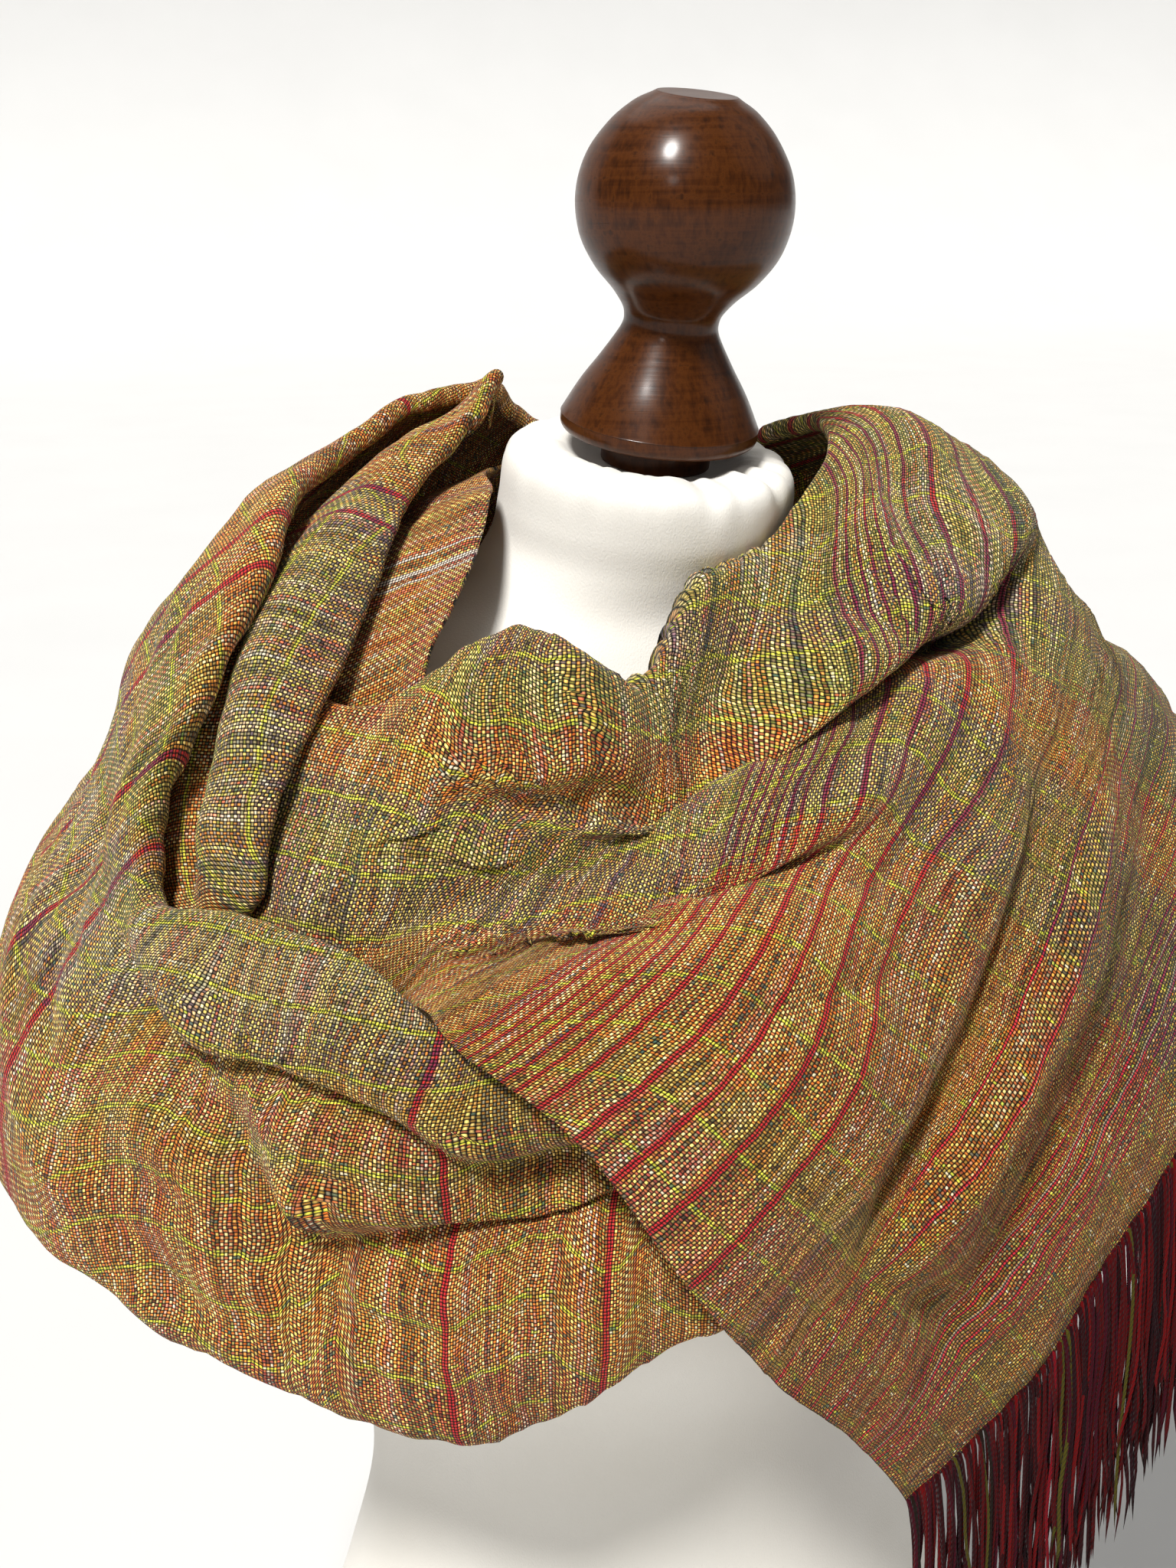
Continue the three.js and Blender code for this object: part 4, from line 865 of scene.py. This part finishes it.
def turnedBody(body):
    # the outline as a smooth curve, carried round the leaning axis
    steps = np.linspace(0, len(body["outline"]) - 1,
                        (len(body["outline"]) - 1) * body["perStep"] + 1)
    outline = curve(np.array(body["outline"], float), steps)
    low, high = body["outline"][0][0], body["outline"][-1][0]
    height = np.clip(outline[:, 0], low, high)
    radius = np.maximum(outline[:, 1], 0)
    axis = np.array([math.tan(math.radians(lean["side"])),
                     -math.tan(math.radians(lean["forward"])), 1.0])
    axis /= np.linalg.norm(axis)
    first = np.cross([0.0, 1.0, 0.0], axis)
    first /= np.linalg.norm(first)
    second = np.cross(axis, first)
    a = np.linspace(0, 2 * math.pi, body["around"], endpoint=False)[None, :, None]
    spoke = first * np.cos(a) + second * np.sin(a)
    whole = (np.array(body["foot"]) + axis * height[:, None, None]
             + spoke * radius[:, None, None])
    uv = np.stack([np.broadcast_to(a[..., 0] / (2 * math.pi), whole.shape[:2]),
                   np.broadcast_to(height[:, None] / high, whole.shape[:2])], axis=-1)
    return whole.reshape(-1, 3), gridFaces(*whole.shape[:2], closed=True)[:, ::-1], \
        uv.reshape(-1, 2)


knobPiece = closed(newPiece("neckKnob", *turnedBody(knob)))
wood = Shader("turnedWood", {"Specular IOR Level": 0.12, "Coat Weight": 0.22,
                             "Coat Roughness": 0.16})
where = wood.node("ShaderNodeTexCoord", out=3)
grain = wood.noise(wood.stretched(where, 380, 380, 110), 1.0, 5, 0.62)
rings = wood.noise(wood.stretched(where, 16, 16, 420), 1.0, 3, 0.6)
figure = wood.math("ADD", wood.times(grain, 0.6), wood.times(rings, 0.4))
brown = wood.steps(figure, [(0.34, (42, 19, 4)), (0.46, (62, 30, 7)),
                            (0.55, (74, 38, 10)), (0.66, (48, 23, 5))])
wood.feed({"Base Color": brown, "Roughness": wood.scaled(rings, 0.2, 0.22),
           "Normal": wood.bump(rings, 0.0003, 0.25)})
knobPiece.data.materials.append(wood.material)
print("knob done")

# the fringe: loose warp ends along the last line of the cloth

fringe = {
    "strands": 330, "steps": 13, "sides": 4, "thick": 1.8, "length": 112, "uneven": 44,
    "tuft": 6, "sway": 5, "wave": 2.4, "stepOut": 10.5, "tuckedIn": 3,      # mm
    "strips": [
        {"name": "fringeFront", "node": "fringe_front", "from": 1.0, "to": 0.67, "seed": 21},
        {"name": "fringeSide", "node": "fringe_side", "from": 0.66, "to": 0.34, "seed": 22},
        {"name": "fringeBack", "node": "fringe_back", "from": 0.33, "to": 0.0, "seed": 23},
    ],
}


def strands(strip, cloth, rolled=drape["rollSteps"]):
    # each strand leaves the cloth along its warp, then hangs, gathering a little with its
    # neighbours and swaying; a ring of points is carried along every strand at once
    luck = np.random.default_rng(strip["seed"])
    count, steps, sides = fringe["strands"], fringe["steps"], fringe["sides"]
    edge, inner = cloth[-1, rolled:], cloth[-3, rolled:]
    at = np.linspace(strip["from"], strip["to"], count) + luck.normal(0, 0.0012, count)
    gone = runAlong(edge[:, None])
    at = np.interp(np.clip(at, 0.001, 0.999) * gone[-1], gone, np.arange(len(edge)))
    root = curve(edge, at)
    out = root - curve(inner, at)
    out /= np.linalg.norm(out, axis=1, keepdims=True)
    along = np.gradient(edge, axis=0)
    along = curve(along, at)
    along /= np.linalg.norm(along, axis=1, keepdims=True)
    face = np.cross(out, along)
    face *= np.sign(np.sum(face * (root - drape["centre"]), axis=1, keepdims=True))
    level = np.stack([face[:, 0], face[:, 1], np.zeros(count)], axis=-1)
    level /= np.linalg.norm(level, axis=1, keepdims=True)
    sideways = np.stack([-level[:, 1], level[:, 0], np.zeros(count)], axis=-1)

    t = np.concatenate([[0, 0.012], np.linspace(0.06, 1, steps - 2)])[None, :, None]
    reach = (fringe["length"] + fringe["uneven"] * luck.uniform(-0.5, 0.5, count))[:, None, None]
    run = np.interp(at, np.arange(len(edge)), gone)
    tuft = fringe["tuft"]
    gather = (np.round(run / tuft) * tuft - run)[:, None, None]     # where its tuft hangs
    sway = luck.normal(0, fringe["sway"], count)[:, None, None]
    loose = luck.uniform(-0.6, 9, count)[:, None, None]
    wave = fringe["wave"] * t * np.sin(2 * math.pi * (
        t * luck.uniform(0.8, 2.2, (count, 1, 1)) + luck.uniform(0, 1, (count, 1, 1))))
    drop = np.array([0, 0, -1.0])
    leave = fringe["stepOut"] * (1 - np.exp(-6 * t)) - fringe["tuckedIn"]
    spine = ((root - face * 0.6)[:, None] + out[:, None] * leave
             + drop * reach * np.clip(t - 0.02, 0, 1) ** 1.12
             + level[:, None] * (loose * np.sqrt(t) + 0.4)
             + along[:, None] * gather * np.sin(np.minimum(t * 3, 1) * math.pi / 2) * 0.7
             + sideways[:, None] * (sway * t ** 1.5 + wave))
    thick = fringe["thick"] * luck.uniform(0.75, 1.15, count)[:, None, None] / 2
    size = thick * np.clip(np.minimum(1.0 + 0 * t, (1.02 - t) * 9), 0, 1)
    size[:, -1] = 0
    size[:, 0] = 0
    path = np.gradient(spine, axis=1)
    path /= np.linalg.norm(path, axis=2, keepdims=True)
    first = np.cross(path, face[:, None])
    first /= np.linalg.norm(first, axis=2, keepdims=True)
    second = np.cross(path, first)
    a = np.linspace(0, 2 * math.pi, sides, endpoint=False)
    ring = (spine[:, :, None] + size[..., None] * (first[:, :, None] * np.cos(a)[:, None]
                                                   + second[:, :, None] * np.sin(a)[:, None]))
    faces = gridFaces(steps, sides, closed=True)
    faces = (faces[None] + (np.arange(count) * steps * sides)[:, None, None]).reshape(-1, 4)
    uv = np.empty(ring.shape[:3] + (2,))
    uv[..., 0] = np.arange(sides) / sides + (t[..., 0] * reach[..., 0] / 5)[:, :, None]
    uv[..., 1] = luck.uniform(0, 1, count)[:, None, None]
    return ring.reshape(-1, 3), faces, uv.reshape(-1, 2)


yarn = Shader("fringeYarn", {"Roughness": 0.85, "Sheen Weight": 0.05,
                             "Specular IOR Level": 0.04})
parts = yarn.tree.nodes.new("ShaderNodeSeparateXYZ")
yarn.put(parts.inputs[0], yarn.node("ShaderNodeUVMap", uv_map="cloth"))
tone = yarn.steps(parts.outputs[1], [
    (0.0, (74, 6, 8)), (0.34, (44, 5, 8)), (0.54, (98, 8, 10)),
    (0.7, (60, 6, 20)), (0.86, (36, 8, 14)), (0.93, (30, 20, 14)),
    (0.96, (72, 66, 18)), (0.98, (118, 12, 24))], "CONSTANT")
ply = yarn.math("SINE", yarn.times(parts.outputs[0], 4 * math.pi))
shade = yarn.scaled(ply, 0.14, 0.86)
yarn.feed({"Base Color": yarn.dimmed(tone, shade), "Normal": yarn.bump(ply, 0.0004, 0.5)})
fringePieces = []
for strip in fringe["strips"]:
    made = closed(newPiece(strip["name"], *strands(strip, frontPoints)))
    made.data.materials.append(yarn.material)
    fringePieces.append(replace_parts(made, strip["node"]))
print("fringe done")

# the floor, which bends up far behind into a plain wall

backdrop = {"front": -9000, "back": 7000, "bend": 2500, "top": 9000, "half": 12000.0}
bend = np.radians(np.linspace(0, 90, 19))
curved = np.stack([backdrop["back"] + backdrop["bend"] * np.sin(bend),
                   backdrop["bend"] - backdrop["bend"] * np.cos(bend)], axis=-1)
floorLine = np.concatenate([[[backdrop["front"], 0]], curved,
                            [[backdrop["back"] + backdrop["bend"], backdrop["top"]]]])
floorPoints = np.stack([np.stack([np.full(len(floorLine), x), *floorLine.T], axis=-1)
                        for x in (-backdrop["half"], backdrop["half"])], axis=1)
floorPiece = newPiece("floor", floorPoints.reshape(-1, 3),
                      gridFaces(len(floorLine), 2)[:, ::-1])
paper = Shader("palePaper", {"Roughness": 0.9})
clouds = paper.noise(paper.node("ShaderNodeTexCoord", out=3), 3, 2)
paper.feed({"Base Color": paper.steps(clouds, [(0.2, (203.42, 203.42, 202.67)),
                                               (0.8, (206.41, 206.41, 205.67))])})
floorPiece.data.materials.append(paper.material)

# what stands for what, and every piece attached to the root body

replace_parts(formPiece, "dress_form")
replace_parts(knobPiece, "neck_knob")
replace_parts(bandPiece, "inner_band")
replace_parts(foldPiece, "shoulder_fold")
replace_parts(loopPiece, "loop_stretch")
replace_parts(frontPiece, "front_stretch")
for piece, slotName in [(formPiece, "jersey"), (knobPiece, "dark_wood"),
                        (bandPiece, "wool_weave"), (foldPiece, "wool_weave"),
                        (loopPiece, "wool_weave"), (frontPiece, "wool_weave"),
                        *((made, "wool_fringe") for made in fringePieces)]:
    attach(piece, "root")
